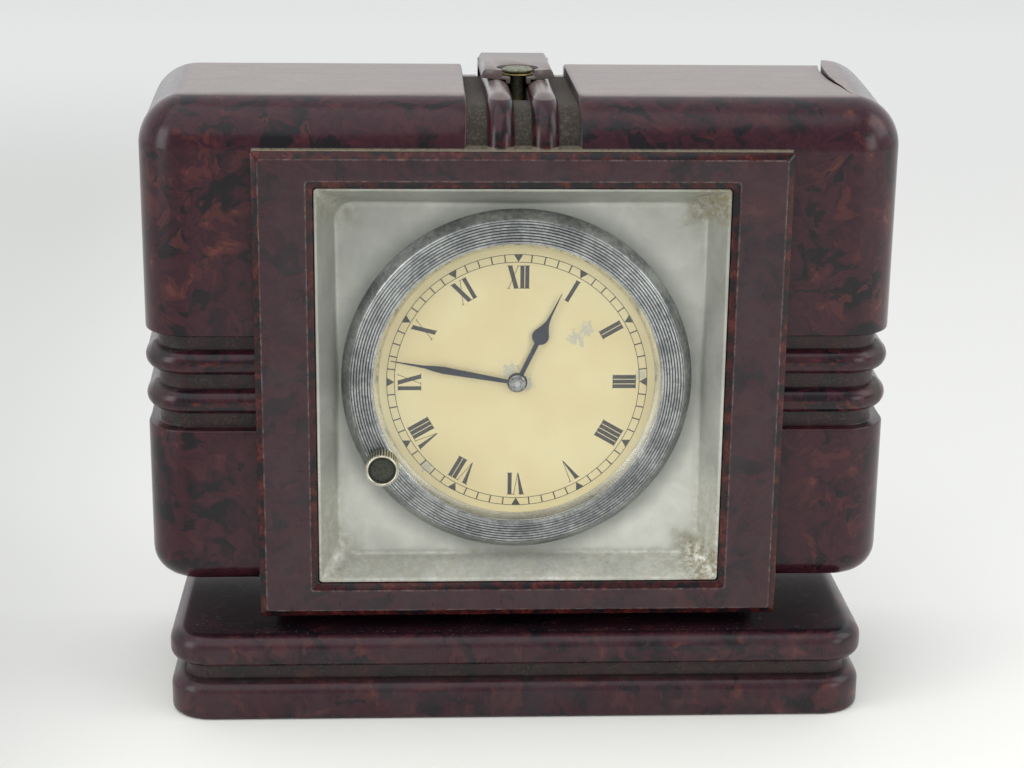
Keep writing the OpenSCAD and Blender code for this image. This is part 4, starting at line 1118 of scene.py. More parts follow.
class Finishes:
    """Every material, built once."""

    def __init__(self) -> None:
        """Builds the materials."""
        self.moulding = MottledMoulding().material()
        self.tray = PressedTray().material()
        self.ring = CastRing().material()
        self.dial = DialPaint().material()
        self.glass = WindowGlass().material()
        self.mirror = WornMetal("polished_cone", (0.90, 0.90, 0.87), (0.78, 0.78, 0.75), 0.20, 5.0, 0.5,
                                0.003, spread=0.08).material()
        self.ink = PlainFinish("dial_ink", (0.012, 0.012, 0.012), (0.025, 0.024, 0.022), 0.45, 0.8).material()
        self.blued = WornMetal("blued_steel", (0.012, 0.020, 0.045), (0.006, 0.008, 0.016), 0.25, 2.0, 0.3,
                               0.004, metallic=0.85).material()
        self.nut = WornMetal("hub_metal", (0.36, 0.37, 0.37), (0.07, 0.07, 0.07), 0.28, 1.0, 0.3,
                             0.02).material()
        self.knob = WornMetal("knob_metal", (0.74, 0.71, 0.58), (0.40, 0.38, 0.30), 0.32, 1.2, 0.3,
                              0.02).material()
        self.disc = PlainFinish("knob_disc", (0.016, 0.018, 0.014), (0.055, 0.06, 0.042), 0.45, 0.5,
                                metallic=0.3).material()
        self.collar = WornMetal("collar_brass", (0.62, 0.50, 0.20), (0.20, 0.16, 0.07), 0.38, 1.0, 0.3,
                                0.02).material()
        self.patina = WornMetal("tarnished_screw", (0.30, 0.31, 0.22), (0.10, 0.11, 0.08), 0.48, 0.7, 0.25,
                                0.02, metallic=0.6).material()
        self.brass = WornMetal("movement_brass", (0.72, 0.53, 0.24), (0.50, 0.36, 0.15), 0.30, 5.0, 0.3,
                               0.006).material()
        self.wheel = WornMetal("wheel_brass", (0.80, 0.60, 0.28), (0.58, 0.42, 0.18), 0.24, 3.0, 0.25,
                               0.004).material()
        self.can = WornMetal("can_brass", (0.52, 0.41, 0.20), (0.30, 0.23, 0.11), 0.36, 7.0, 0.5,
                             0.01).material()
        self.steel = WornMetal("bright_steel", (0.56, 0.57, 0.57), (0.34, 0.34, 0.34), 0.28, 3.0, 0.3,
                               0.006).material()
        self.spring = WornMetal("spring_steel", (0.11, 0.13, 0.19), (0.05, 0.06, 0.09), 0.28, 2.0, 0.3,
                                0.004).material()
        self.screw = WornMetal("brass_screw", (0.60, 0.47, 0.22), (0.32, 0.25, 0.12), 0.34, 1.5, 0.3,
                               0.01).material()
        self.dust = PlainFinish("dust_crumbs", (0.27, 0.25, 0.18), (0.12, 0.11, 0.08), 0.9, 0.7).material()


class Pattern:
    """A Geometry Nodes tree with named inputs, made into a plain mesh."""

    def __init__(self, name: str) -> None:
        """Starts a tree.

        Args:
            name: the tree's name, and the name of the piece that it makes.
        """
        self.name = name
        self.tree = bpy.data.node_groups.new(name, "GeometryNodeTree")
        self.tree.interface.new_socket("Geometry", in_out="INPUT", socket_type="NodeSocketGeometry")
        self.tree.interface.new_socket("Geometry", in_out="OUTPUT", socket_type="NodeSocketGeometry")
        self.start = self.tree.nodes.new("NodeGroupInput")
        self.end = self.tree.nodes.new("NodeGroupOutput")
        self.values: dict[str, object] = {}

    def size(self, name: str, value: float, whole: bool = False) -> Socket:
        """Adds a named input.

        Args:
            name: its name.
            value: its value.
            whole: whether it is a whole number.

        Returns:
            The socket that carries it in the tree.
        """
        kind = "NodeSocketInt" if whole else "NodeSocketFloat"
        socket = self.tree.interface.new_socket(name, in_out="INPUT", socket_type=kind)
        self.values[socket.identifier] = value
        return self.start.outputs[name]

    def node(self, kind: str, values: Optional[dict[object, object]] = None,
             **settings: object) -> bpy.types.Node:
        """Adds a node.

        Args:
            kind: its type.
            values: its inputs, by name or number.
            settings: its own properties.

        Returns:
            The node.
        """
        node = self.tree.nodes.new(kind)
        for name, setting in settings.items():
            setattr(node, name, setting)
        for key, value in (values or {}).items():
            socket = node.inputs[key]
            if isinstance(value, Socket):
                self.tree.links.new(value, socket)
            else:
                socket.default_value = value
        return node

    def math(self, operation: str, first: object, second: object = 0.0) -> Socket:
        """Adds a Math node and returns its output."""
        return self.node("ShaderNodeMath", {0: first, 1: second}, operation=operation).outputs[0]

    def circle_turns(self, count: Socket) -> Socket:
        """Returns each point's angle round a circle, in radians, clockwise seen from the front."""
        index = self.node("GeometryNodeInputIndex").outputs[0]
        return self.math("DIVIDE", self.math("MULTIPLY", index, 2 * math.pi), count)

    def ring_points(self, count: Socket, radius: object, middle: Place) -> Socket:
        """Places points on a circle that faces the front.

        Args:
            count: number of points.
            radius: radius of the circle, in metres.
            middle: its middle, in metres.

        Returns:
            The points.
        """
        turn = self.circle_turns(count)
        x = self.math("MULTIPLY", self.math("SINE", turn), radius)
        z = self.math("MULTIPLY", self.math("COSINE", turn), radius)
        place = self.node("ShaderNodeCombineXYZ", {0: self.math("ADD", x, middle[0]), 1: middle[1],
                                                   2: self.math("ADD", z, middle[2])})
        return self.node("GeometryNodePoints", {"Count": count, "Position": place.outputs[0]}).outputs[0]

    def facing(self, turn: Socket) -> Socket:
        """Returns the rotation by an angle round the line that runs front to back."""
        euler = self.node("ShaderNodeCombineXYZ", {0: 0.0, 1: turn, 2: 0.0})
        return self.node("FunctionNodeEulerToRotation", {0: euler.outputs[0]}).outputs[0]

    def finish(self, geometry: Socket, material: Material,
               carrier: Optional[Piece] = None) -> Piece:
        """Ends the tree and makes the piece.

        Args:
            geometry: what the tree makes.
            material: the piece's material.
            carrier: an object whose mesh the tree reads, or None.

        Returns:
            The piece, with a plain mesh.
        """
        whole = self.node("GeometryNodeRealizeInstances", {"Geometry": geometry})
        dressed = self.node("GeometryNodeSetMaterial", {"Geometry": whole.outputs[0], "Material": material})
        self.tree.links.new(dressed.outputs[0], self.end.inputs[0])
        piece = carrier or bpy.data.objects.new(self.name, bpy.data.meshes.new(self.name))
        if carrier is None:
            bpy.context.scene.collection.objects.link(piece)
        piece.name = self.name
        modifier = piece.modifiers.new("Pattern", "NODES")
        modifier.node_group = self.tree
        for identifier, value in self.values.items():
            modifier[identifier] = value
        settle(piece)
        return piece


class Assembly:
    """A group of pieces that share finishes."""

    def __init__(self, finishes: Finishes) -> None:
        """Keeps the finishes.

        Args:
            finishes: every material.
        """
        self.finishes = finishes

    def dress(self, piece: Piece, material: Optional[Material], body: Body, slot: str,
              *nodes: str) -> Piece:
        """Gives a piece its material and its body, and hides the CAD nodes that it stands for.

        Args:
            piece: the object.
            material: its material, or None where its mesh has one.
            body: the body that it rides on.
            slot: the record's material slot; not used.
            nodes: CAD nodes that it replaces.

        Returns:
            The piece.
        """
        if material is not None:
            piece.data.materials.clear()
            piece.data.materials.append(material)
        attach(piece, body.value)
        if nodes:
            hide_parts(*nodes)
        LOG.info("%s: %d faces on %s", piece.name, len(piece.data.polygons), body.value)
        return piece


@dataclass
class CaseSizes:
    """Sizes of the moulded case."""

    half_w: float = 82.0
    front: float = -24.55
    rear: float = 32.25
    bottom: float = 29.2
    top: float = 137.7
    edge: float = 11.0
    foot: float = 6.4
    draft: float = 2.3
    straight: float = 4.0
    ease: float = 2.0
    level: float = 30.0
    band: Flat = (65.2, 86.4)
    band_depth: float = 2.6
    reeds: Flat = (71.4, 80.2)
    reed_r: float = 2.8
    channel_half: float = 12.0
    channel_depth: float = 2.5
    channel_foot: float = 127.0
    rib_x: float = 4.75
    rib_r: float = 3.0
    rim: float = 0.5
    lip: float = 0.55
    slope: float = 0.04

    @property
    def corner(self) -> Flat:
        """Returns the middle of the right front corner's rounding, seen from above."""
        return (self.half_w - self.edge, self.front + self.edge)

    def flare(self, y: float) -> float:
        """Finds how far the leaning sides have moved outwards.

        Args:
            y: place from front to rear.

        Returns:
            The distance.
        """
        start = self.corner[1] + self.straight
        run = y - start
        if run < -self.ease:
            return 0.0
        eased = run if run > self.ease else (run + self.ease) ** 2 / (4 * self.ease)
        return eased * self.draft / (self.rear - start)

    def leaning(self, x: float, y: float) -> float:
        """Moves a point of the top or the underside outwards with the leaning sides.

        Args:
            x: its place across.
            y: its place from front to rear.

        Returns:
            Its new place across.
        """
        share = max(abs(x) - self.level, 0.0) / (self.corner[0] - self.level)
        return x + math.copysign(share * self.flare(y), x)


class Case(Assembly):
    """The moulded case with its panel, its ribs and its neck."""

    crack_line: tuple[tuple[float, float, float, float], ...] = (
        (72.9, 33.0, 134.4, 0.62), (72.5, 31.0, 134.4, 0.60), (71.4, 24.0, 134.4, 0.50),
        (70.8, 17.0, 134.6, 0.42), (70.5, 9.0, 134.8, 0.34), (70.8, 1.8, 135.0, 0.26),
        (71.2, -2.8, 135.2, 0.20), (71.3, -9.0, 135.6, 0.14), (71.6, -11.5, 136.0, 0.11),
        (72.2, -14.2, 136.2, 0.09), (72.8, -15.7, 136.2, 0.07), (73.7, -17.2, 136.0, 0.06),
        (74.5, -18.2, 135.6, 0.04))
    lift: float = 1.25
    spread: float = 0.12

    def __init__(self, finishes: Finishes) -> None:
        """Takes the sizes of the case.

        Args:
            finishes: every material.
        """
        super().__init__(finishes)
        self.sizes = CaseSizes()

    def section(self) -> list[tuple[float, float, float, float]]:
        """Draws the upright section, from the underside's middle outwards and up to the top's middle.

        Returns:
            Each point's distance out from the corner's middle, its height, and its normal's two parts.
        """
        s = self.sizes
        inner = s.edge - s.band_depth
        corners = [(0.0, s.bottom, 0.0)]
        foot_arc = arc_points((s.edge - s.foot, s.bottom + s.foot), s.foot, -90, 0, 8)
        corners += [(a, b, 0.0) for a, b in foot_arc]
        corners += [(s.edge, 49.0, 0.0), (s.edge, s.band[0], s.lip), (inner, s.band[0] + s.slope, 0.5)]
        for middle in s.reeds:
            corners.append((inner, middle - s.reed_r, 0.25))
            corners += [(a, b, 0.0) for a, b in arc_points((inner, middle), s.reed_r, -84, 84, 14)]
            corners.append((inner, middle + s.reed_r, 0.25))
        corners += [(inner, s.band[1] - s.slope, 0.5), (s.edge, s.band[1], s.lip), (s.edge, 106.0, 0.0)]
        bend = s.top - s.edge
        corners.append((s.edge, bend, 0.0))
        near = [math.degrees(math.asin((s.channel_foot + step - bend) / s.edge)) for step in (-0.1, 0.1)]
        angles = sorted(near + [90 * step / 16 for step in range(1, 17)])
        corners += [(s.edge * math.cos(math.radians(a)), bend + s.edge * math.sin(math.radians(a)), 0.0)
                    for a in angles]
        outline = soften(corners, 3)
        result = []
        for index, (a, b) in enumerate(outline):
            before = outline[max(index - 1, 0)]
            after = outline[min(index + 1, len(outline) - 1)]
            run = Vector((after[0] - before[0], after[1] - before[1])).normalized()
            normal = (run.y, -run.x)
            if index == 0:
                normal = (0.0, -1.0)
            elif index == len(outline) - 1 or b > bend and a > s.edge * 0.001:
                normal = (a / s.edge, (b - bend) / s.edge)
            result.append((max(a, 0.0), b, normal[0], normal[1]))
        return result

    def across(self) -> list[Flat]:
        """Lists the places across the front and top.

        Returns:
            Each place, with how deep the channel is there.
        """
        s = self.sizes
        right = [(0.0, s.channel_depth), (s.rib_x, s.channel_depth), (9.0, s.channel_depth)]
        right += [(s.channel_half - 0.4 + 0.4 * math.sin(turn), s.channel_depth - 0.4 * (1 - math.cos(turn)))
                  for turn in (math.radians(30 * step) for step in range(4))]
        right += [(s.channel_half + 0.6 * (1 - math.cos(turn)), 0.6 * (1 - math.sin(turn)))
                  for turn in (math.radians(22.5 * step) for step in range(5))]
        inner = s.half_w - s.edge
        right += [(14.0 + (inner - 14.0) * step / 22, 0.0) for step in range(23)]
        return [(-x, d) for x, d in reversed(right[1:])] + right

    def backward(self) -> list[Flat]:
        """Lists the places from front to rear.

        Returns:
            Each place, with how far the rear rim is rounded there.
        """
        s = self.sizes
        start = s.front + s.edge
        plain = [(start + (s.rear - s.rim - start) * step / 24, 0.0) for step in range(24)]
        return plain + [(s.rear - s.rim + s.rim * math.sin(turn), s.rim * (1 - math.cos(turn)))
                        for turn in (math.radians(22.5 * step) for step in range(5))]

    def side(self, station: Flat, part: tuple[float, float, float, float], side: int) -> Place:
        """Finds a point of a leaning side.

        Args:
            station: its place from front to rear, and how far the rear rim is rounded there.
            part: the section's point.
            side: 1 for the right side and -1 for the left.

        Returns:
            The point.
        """
        s = self.sizes
        out, z, n_out, n_z = part
        y, rim = station
        if s.band[0] - 1.0 < z < s.band[1] + 1.0:
            rim = 0.0
        return (side * (s.corner[0] + out + s.flare(y) - n_out * rim), y, z - n_z * rim)

    def skin(self) -> Piece:
        """Covers the outside of the case, closed at the rear.

        Returns:
            The shell before it is cut.
        """
        s = self.sizes
        section = self.section()
        across = self.across()
        backward = self.backward()
        corner_x, corner_y = s.corner
        shape = Shape()
        rows = []
        for out, z, n_out, n_z in section:
            deep = 1.0 if z > s.channel_foot else 0.0
            rows.append([(x, corner_y - out + n_out * d * deep, z - n_z * d * deep) for x, d in across])
        shape.grid(rows)
        turns = [math.pi / 2 * step / 14 for step in range(15)]
        for side in (-1, 1):
            shape.grid([[self.side(station, part, side) for station in backward] for part in section])
            shape.grid([[(side * (corner_x + out * math.sin(turn)), corner_y - out * math.cos(turn), z)
                         for turn in turns] for out, z, n_out, n_z in section])
        shape.grid([[(s.leaning(x, y), y, s.top - d - e) for x, d in across] for y, e in backward])
        shape.grid([[(s.leaning(x, y), y, s.bottom + e) for x, d in across] for y, e in backward])
        last = backward[-1]
        inner = corner_x + s.flare(s.rear)
        lines = {}
        for side in (-1, 1):
            edge = [self.side(last, part, side) for part in section]
            lines[side] = [(side * inner, s.rear, z) for x, y, z in edge]
            shape.grid([[out, line] for out, line in zip(edge, lines[side])])
        outline = list(lines[-1])
        outline += [(s.leaning(x, s.rear), s.rear, s.top - d - last[1]) for x, d in across[1:-1]]
        outline += list(reversed(lines[1]))
        outline += [(s.leaning(x, s.rear), s.rear, s.bottom + last[1]) for x, d in reversed(across[1:-1])]
        shape.add(outline, [list(range(len(outline)))])
        return shape.piece("case_shell")

    def crack(self, shell: Piece) -> None:
        """Cracks the top near the right side, and lifts the loose strip.

        Args:
            shell: the case.
        """
        shape = Shape()
        rows = []
        for x, y, z, width in self.crack_line:
            rows.append([(x - width / 2, y, z), (x + width / 2, y, z), (x + width / 2, y, 143.0),
                         (x - width / 2, y, 143.0)])
        shape.skin(rows)
        combine(shell, [shape.piece("crack")], "DIFFERENCE")
        line = [(y, x) for x, y, z, width in self.crack_line]
        for vertex in shell.data.vertices:
            x, y, z = vertex.co / MM
            if x < 68.0 or z < 112.0 or y < line[-1][0]:
                continue
            edge = next((b[1] + (a[1] - b[1]) * (y - b[0]) / (a[0] - b[0])
                         for a, b in zip(line, line[1:]) if b[0] <= y <= a[0]), line[0][1])
            if x < edge:
                continue
            along = min(max((y + 15.0) / 47.0, 0.0), 1.0)
            high = min(max((z - 112.0) / 22.0, 0.0), 1.0)
            vertex.co.z += self.lift * MM * along * along * (3 - 2 * along) * high * high * (3 - 2 * high)
            vertex.co.x += self.spread * MM * along * high

    def panel(self) -> Piece:
        """Makes the raised panel round the window, with polished bevels and a sleeve through the wall.

        Returns:
            The panel.
        """
        face = -27.75
        bevel = -26.95
        back = -22.75
        inside = -19.4
        outer = soften([(0.0, back, 0), (0.0, bevel, 0.18), (1.6, face, 0.22), (4.0, face, 0)], 3)
        inner = soften([(2.6, face, 0), (1.6, face, 0.22), (0.0, bevel, 0.18), (0.0, inside, 0)], 3)
        loops = []
        for inset, y in outer:
            loops.append((57.45 - inset, 52.15 - inset, 0.7, y))
        for grow, y in inner:
            loops.append((44.5 + grow, 44.5 + grow, 0.7, y))
        loops += [(45.6, 45.6, 0.7, inside), (45.6, 45.6, 0.7, back)]
        shape = Shape()
        shape.skin([[(x, y, Dial.z + z) for x, z in rounded_loop(w, h, r, 4, 10)] for w, h, r, y in loops],
                   closed=True)
        return shape.piece("panel")

    def rib(self, x: float) -> Piece:
        """Makes one of the ribs that climb the front and run back over the top.

        Args:
            x: where it stands.

        Returns:
            The rib.
        """
        s = self.sizes
        bend = s.top - s.edge
        middle = (s.front + s.edge, bend)
        reach = s.edge - s.channel_depth
        path = [(middle[0] - reach, 125.0, 180.0)]
        path += [(*arc_points(middle, reach, 180 - 5 * step, 180 - 5 * step, 1)[0], 180.0 - 5 * step)
                 for step in range(19)]
        path.append((29.25, s.top - s.channel_depth, 90.0))
        loops = []
        for y, z, angle in path:
            turn = math.radians(angle)
            loops.append([(x + s.rib_r * math.sin(a), y + s.rib_r * math.cos(a) * math.cos(turn),
                           z + s.rib_r * math.cos(a) * math.sin(turn))
                          for a in (2 * math.pi * step / 28 for step in range(28))])
        shape = Shape()
        shape.skin(loops)
        return shape.piece("rib")

    def build(self) -> None:
        """Makes the case in one piece and dresses it."""
        s = self.sizes
        shell = self.skin()
        cavity = Shape()
        outline = rounded_loop(77.0, 49.6, 6.0, 8)
        cavity.skin([[(x, y, 83.1 + z) for x, z in outline] for y in (-19.35, 34.0)])
        combine(shell, [cavity.piece("cavity"),
                        block((-79.0, 29.25, 31.5), (79.0, 34.0, 134.7)),
                        block((-8.5, 29.2, 130.0), (8.5, 34.0, 142.0)),
                        block((-45.05, -26.0, 29.95), (45.05, -18.0, 120.05))], "DIFFERENCE")
        combine(shell, [block((-55.0, -12.05, 19.5), (55.0, 32.25, 30.6), 1.2)], "UNION")
        combine(shell, [block((-50.0, -7.05, 24.5), (50.0, 27.25, 40.0), 2.0)], "DIFFERENCE")
        screw = (0.0, 7.25)
        combine(shell, [rod(screw, 6.0, 125.5, 134.0), block((-5.97, -10.95, 130.0), (5.97, 7.25, 133.98)),
                        self.rib(-s.rib_x), self.rib(s.rib_x), self.panel()], "UNION")
        combine(shell, [block((-1.92, -7.95, 132.93), (1.92, 7.25, 140.0)), rod(screw, 1.95, 132.86, 140.1),
                        rod(screw, 3.0, 126.5, 133.0)], "DIFFERENCE")
        close_slivers(shell)
        self.crack(shell)
        close_slivers(shell)
        shade(shell, 30.0)
        self.dress(shell, self.finishes.moulding, Body.CASE, "case_plastic", "front_shell")


class Plinth(Assembly):
    """The two-tier plinth, hollow underneath."""

    half_w: float = 78.0
    half_d: float = 32.25
    corner: float = 9.6

    def build(self) -> None:
        """Makes the plinth and dresses it."""
        lower = 8.8
        upper = 12.4
        top = 19.5
        groove = 3.5
        edge = [(6.5, 14.5, 0.0), (6.5, 0.0, 0.3), (1.0, 0.0, 0.0)]
        edge += [(1.0 - a, b, 0.0) for a, b in arc_points((0.0, 1.0), 1.0, -90, 0, 4)[1:]]
        edge += [(3.1 - a, b, 0.0) for a, b in arc_points((0.0, lower - 3.1), 3.1, 0, 90, 8)]
        edge += [(groove, lower, 0.45), (groove, upper, 0.45)]
        edge += [(2.2 - a, b, 0.0) for a, b in arc_points((0.0, upper + 2.2), 2.2, -90, 0, 7)]
        edge += [(3.1 - a, b, 0.0) for a, b in arc_points((0.0, top - 3.1), 3.1, 0, 90, 8)]
        edge += [(4.2, top, 0.0), (7.0, top, 0.0)]
        loops = []
        for inset, z in soften(edge, 3):
            radius = max(self.corner - inset, 0.8)
            if inset >= 6.4 and z < 15:
                radius = 3.0
            outline = rounded_loop(self.half_w - inset, self.half_d - inset, radius, 12, 14)
            loops.append([(x, y, z) for x, y in outline])
        shape = Shape()
        shape.skin(loops)
        plinth = shape.piece("plinth_shell")
        self.dress(plinth, self.finishes.moulding, Body.CASE, "case_plastic", "plinth")


class Tray(Assembly):
    """The pressed tray in the window, with a folded rim and a round hole for the clock."""

    def build(self) -> None:
        """Makes the tray and dresses it."""
        front = -26.65
        floor = -19.35
        back = -18.15
        hole = 37.5
        mouth = 43.75
        rows: list[tuple[Optional[Flat], float, float]] = [(None, 0.0, floor)]
        rows += [((38.6, 38.6), 4.0, floor), ((39.4, 39.4), 4.2, floor), ((40.0, 40.0), 4.3, floor - 0.16),
                 ((40.42, 40.42), 4.4, floor - 0.6), ((40.7, 40.7), 4.4, floor - 1.1)]
        rows += [((43.45, 43.45), 1.2, front + 0.55), ((mouth, mouth), 0.8, front + 0.12),
                 ((mouth + 0.15, mouth + 0.15), 0.7, front), ((mouth + 0.5, mouth + 0.5), 0.7, front),
                 ((mouth + 0.6, mouth + 0.6), 0.8, front + 0.12)]
        rows += [((40.95, 40.95), 4.6, floor), ((54.0, 41.1), 3.0, floor), ((54.0, 41.1), 3.0, back)]
        rows += [(None, 0.0, back)]
        guide = rounded_loop(mouth, mouth, 1.6, 8, 16)
        loops = []
        for half, radius, y in rows:
            if half is None:
                loops.append([(Dial.x + hole * x / math.hypot(x, z), y, Dial.z + hole * z / math.hypot(x, z))
                              for x, z in guide])
            else:
                loops.append([(x, y, Dial.z + z) for x, z in rounded_loop(half[0], half[1], radius, 8, 16)])
        shape = Shape()
        shape.skin(loops, closed=True)
        self.dress(shape.piece("tray_sheet", 40.0), self.finishes.tray, Body.CASE, "tray_metal", "tray")


@dataclass
class RingSizes:
    """Sizes of the bezel."""

    ridges: int = 7
    inner: float = 32.2
    outer: float = 36.5
    face_inner: float = -3.3
    face_outer: float = -2.8
    depth: float = 0.28
    steps: int = 224


class ClockFront(Assembly):
    """The bezel, the glass and the polished cone behind it."""

    sizes = RingSizes()

    def ring(self) -> Piece:
        """Makes the bezel's body: a lip, a floor under the ridges and a conical skirt.

        Returns:
            The body.
        """
        s = self.sizes
        floor_in = s.face_inner + s.depth
        floor_out = s.face_outer + s.depth
        profile = soften([(31.6, -2.75, 0.0), (31.6, -3.2, 0.12), (32.15, -3.34, 0.12),
                          (32.3, floor_in, 0.05), (s.outer - 0.1, floor_out, 0.05),
                          (s.outer + 0.05, s.face_outer + 0.05, 0.1),
                          (s.outer + 0.35, s.face_outer + 0.25, 0.2), (37.1, -2.2, 0.3), (38.6, 0.2, 0.1),
                          (38.6, 0.38, 0.0), (33.05, 0.38, 0.0), (33.05, -2.75, 0.0)], 3, closed=True)
        shape = Shape()
        shape.turned(profile, s.steps, (Dial.x, Dial.y, Dial.z))
        piece = shape.piece("bezel_ring")
        for vertex in piece.data.vertices:
            spot = vertex.co / MM
            radius = math.hypot(spot.x - Dial.x, spot.z - Dial.z)
            if radius > s.outer + 0.2 and spot.y < Dial.y + 0.2:
                vertex.co.y += 0.06 * MM * noise.noise(spot * 0.7) + 0.03 * MM * noise.noise(spot * 2.3)
        return piece

    def ridges(self) -> Piece:
        """Makes the concentric ridges of the bezel's face.

        Returns:
            The ridges.
        """
        s = self.sizes
        pattern = Pattern("bezel_ridges")
        count = pattern.size("Ridges", s.ridges, whole=True)
        inner = pattern.size("Inner radius", s.inner * MM)
        pitch = pattern.size("Pitch", (s.outer - s.inner) / s.ridges * MM)
        slope = pattern.size("Slope", (s.face_outer - s.face_inner) / (s.outer - s.inner))
        wander = pattern.size("Wander", 0.07 * MM)
        index = pattern.node("GeometryNodeInputIndex").outputs[0]
        step = pattern.math("MULTIPLY", pattern.math("ADD", index, 0.5), pitch)
        radius = pattern.math("ADD", inner, step)
        floor = (Dial.y + s.face_inner + s.depth) * MM
        depth = pattern.math("MULTIPLY_ADD", step, slope)
        depth.node.inputs[2].default_value = floor
        place = pattern.node("ShaderNodeCombineXYZ", {0: Dial.x * MM, 1: depth, 2: Dial.z * MM})
        points = pattern.node("GeometryNodePoints", {"Count": count, "Position": place.outputs[0]})
        circle = pattern.node("GeometryNodeCurvePrimitiveCircle", {"Resolution": s.steps, "Radius": 1.0})
        upright = pattern.node("GeometryNodeTransform", {
            "Geometry": circle.outputs[0], "Rotation": (math.pi / 2, 0, 0)})
        rings = pattern.node("GeometryNodeInstanceOnPoints", {
            "Points": points.outputs[0], "Instance": upright.outputs[0], "Scale": radius})
        curves = pattern.node("GeometryNodeRealizeInstances", {"Geometry": rings.outputs[0]})
        half = pattern.math("MULTIPLY", pitch, 0.47)
        wire = pattern.node("GeometryNodeCurvePrimitiveCircle", {"Resolution": 12, "Radius": half})
        swept = pattern.node("GeometryNodeCurveToMesh", {
            "Curve": curves.outputs[0], "Profile Curve": wire.outputs[0]})
        wave = pattern.node("ShaderNodeTexNoise", {"Scale": 420.0, "Detail": 3.0})
        shift = pattern.math("MULTIPLY", pattern.math("SUBTRACT", wave.outputs["Fac"], 0.5), wander)
        offset = pattern.node("ShaderNodeCombineXYZ", {0: 0.0, 1: shift, 2: 0.0})
        moved = pattern.node("GeometryNodeSetPosition", {
            "Geometry": swept.outputs[0], "Offset": offset.outputs[0]})
        smooth = pattern.node("GeometryNodeSetShadeSmooth", {"Geometry": moved.outputs[0]})
        return pattern.finish(smooth.outputs[0], self.finishes.ring)

    def build(self) -> None:
        """Makes the bezel, glass and cone, and dresses them."""
        self.dress(self.ring(), self.finishes.ring, Body.CASE, "bezel_metal", "bezel")
        self.dress(self.ridges(), None, Body.CASE, "bezel_metal", "bezel")
        glass = Shape()
        glass.turned(soften([(0.0, -2.75, 0), (32.9, -2.75, 0.15), (32.9, -1.95, 0.15), (0.0, -1.95, 0)], 3),
                     160, (Dial.x, Dial.y, Dial.z), closed=False)
        self.dress(glass.piece("clock_glass"), self.finishes.glass, Body.CASE, "glass", "glass")
        cone = Shape()
        cone.turned(soften([(31.6, -1.95, 0.1), (30.1, -0.25, 0.12), (30.1, -0.02, 0.0), (32.9, -0.02, 0.0),
                            (32.9, -1.95, 0.0)], 3, closed=True), 192, (Dial.x, Dial.y, Dial.z))
        self.dress(cone.piece("reflector_cone"), self.finishes.mirror, Body.CASE, "polished_metal",
                   "reflector")


@dataclass
class Numerals:
    """Roman numerals built from bars, each standing with its feet towards the middle of the dial."""

    height: float = 5.1
    foot_r: float = 20.92
    bar: float = 0.88
    gap: float = 0.17
    space: float = 0.3
    hair: float = 0.13
    serif: float = 0.13
    ink: float = 0.012
    texts: tuple[str, ...] = ("XII", "I", "II", "III", "IIII", "V", "VI", "VII", "VIII", "IX", "X", "XI")

    def letter(self, kind: str) -> tuple[float, list[list[Flat]]]:
        """Draws one letter.

        Args:
            kind: I, V or X.

        Returns:
            Its width, and its strokes as outlines.
        """
        h = self.height
        s = self.serif
        if kind == "I":
            return self.bar, [[(0, 0), (self.bar, 0), (self.bar, h), (0, h)],
                              [(-0.14, 0), (self.bar + 0.14, 0), (self.bar + 0.14, s), (-0.14, s)],
                              [(-0.14, h - s), (self.bar + 0.14, h - s), (self.bar + 0.14, h), (-0.14, h)]]
        if kind == "V":
            return 2.5, [[(0.1, h), (1.1, h), (1.55, 0), (1.35, 0)],
                         [(2.28, h), (2.28 + self.hair, h), (1.52, 0), (1.40, 0)],
                         [(-0.1, h - s), (1.25, h - s), (1.25, h), (-0.1, h)],
                         [(2.05, h - s), (2.65, h - s), (2.65, h), (2.05, h)]]
        return 2.5, [[(0.05, h), (1.02, h), (2.45, 0), (1.48, 0)],
                     [(2.3, h), (2.3 + self.hair, h), (0.2 + self.hair, 0), (0.2, 0)],
                     [(-0.1, h - s), (1.15, h - s), (1.15, h), (-0.1, h)],
                     [(2.08, h - s), (2.6, h - s), (2.6, h), (2.08, h)],
                     [(-0.05, 0), (0.55, 0), (0.55, s), (-0.05, s)],
                     [(1.35, 0), (2.6, 0), (2.6, s), (1.35, s)]]

    def shape(self) -> Shape:
        """Draws all twelve numerals.

        Returns:
            Their shape.
        """
        shape = Shape()
        for hour, text in enumerate(self.texts):
            strokes: list[list[Flat]] = []
            across = 0.0
            for index, kind in enumerate(text):
                if index:
                    across += self.gap if kind == text[index - 1] == "I" else self.space
                width, outlines = self.letter(kind)
                strokes += [[(u + across, v) for u, v in outline] for outline in outlines]
                across += width
            for level, outline in enumerate(strokes):
                top = -self.ink - 0.0015 * (level % 6)
                ring = [self.spot(hour, u - across / 2, v, top) for u, v in outline]
                shape.plate(ring, (0.0, -top - 0.002, 0.0))
        return shape

    def spot(self, hour: int, across: float, up: float, depth: float) -> Place:
        """Finds a point of a numeral.

        Args:
            hour: the numeral's hour.
            across: distance to the right of its middle.
            up: height above its feet.
            depth: distance behind the dial's face.

        Returns:
            The point.
        """
        turn = math.radians(30 * hour)
        radius = self.foot_r + up
        return (Dial.x + radius * math.sin(turn) + across * math.cos(turn), Dial.y + depth,
                Dial.z + radius * math.cos(turn) - across * math.sin(turn))


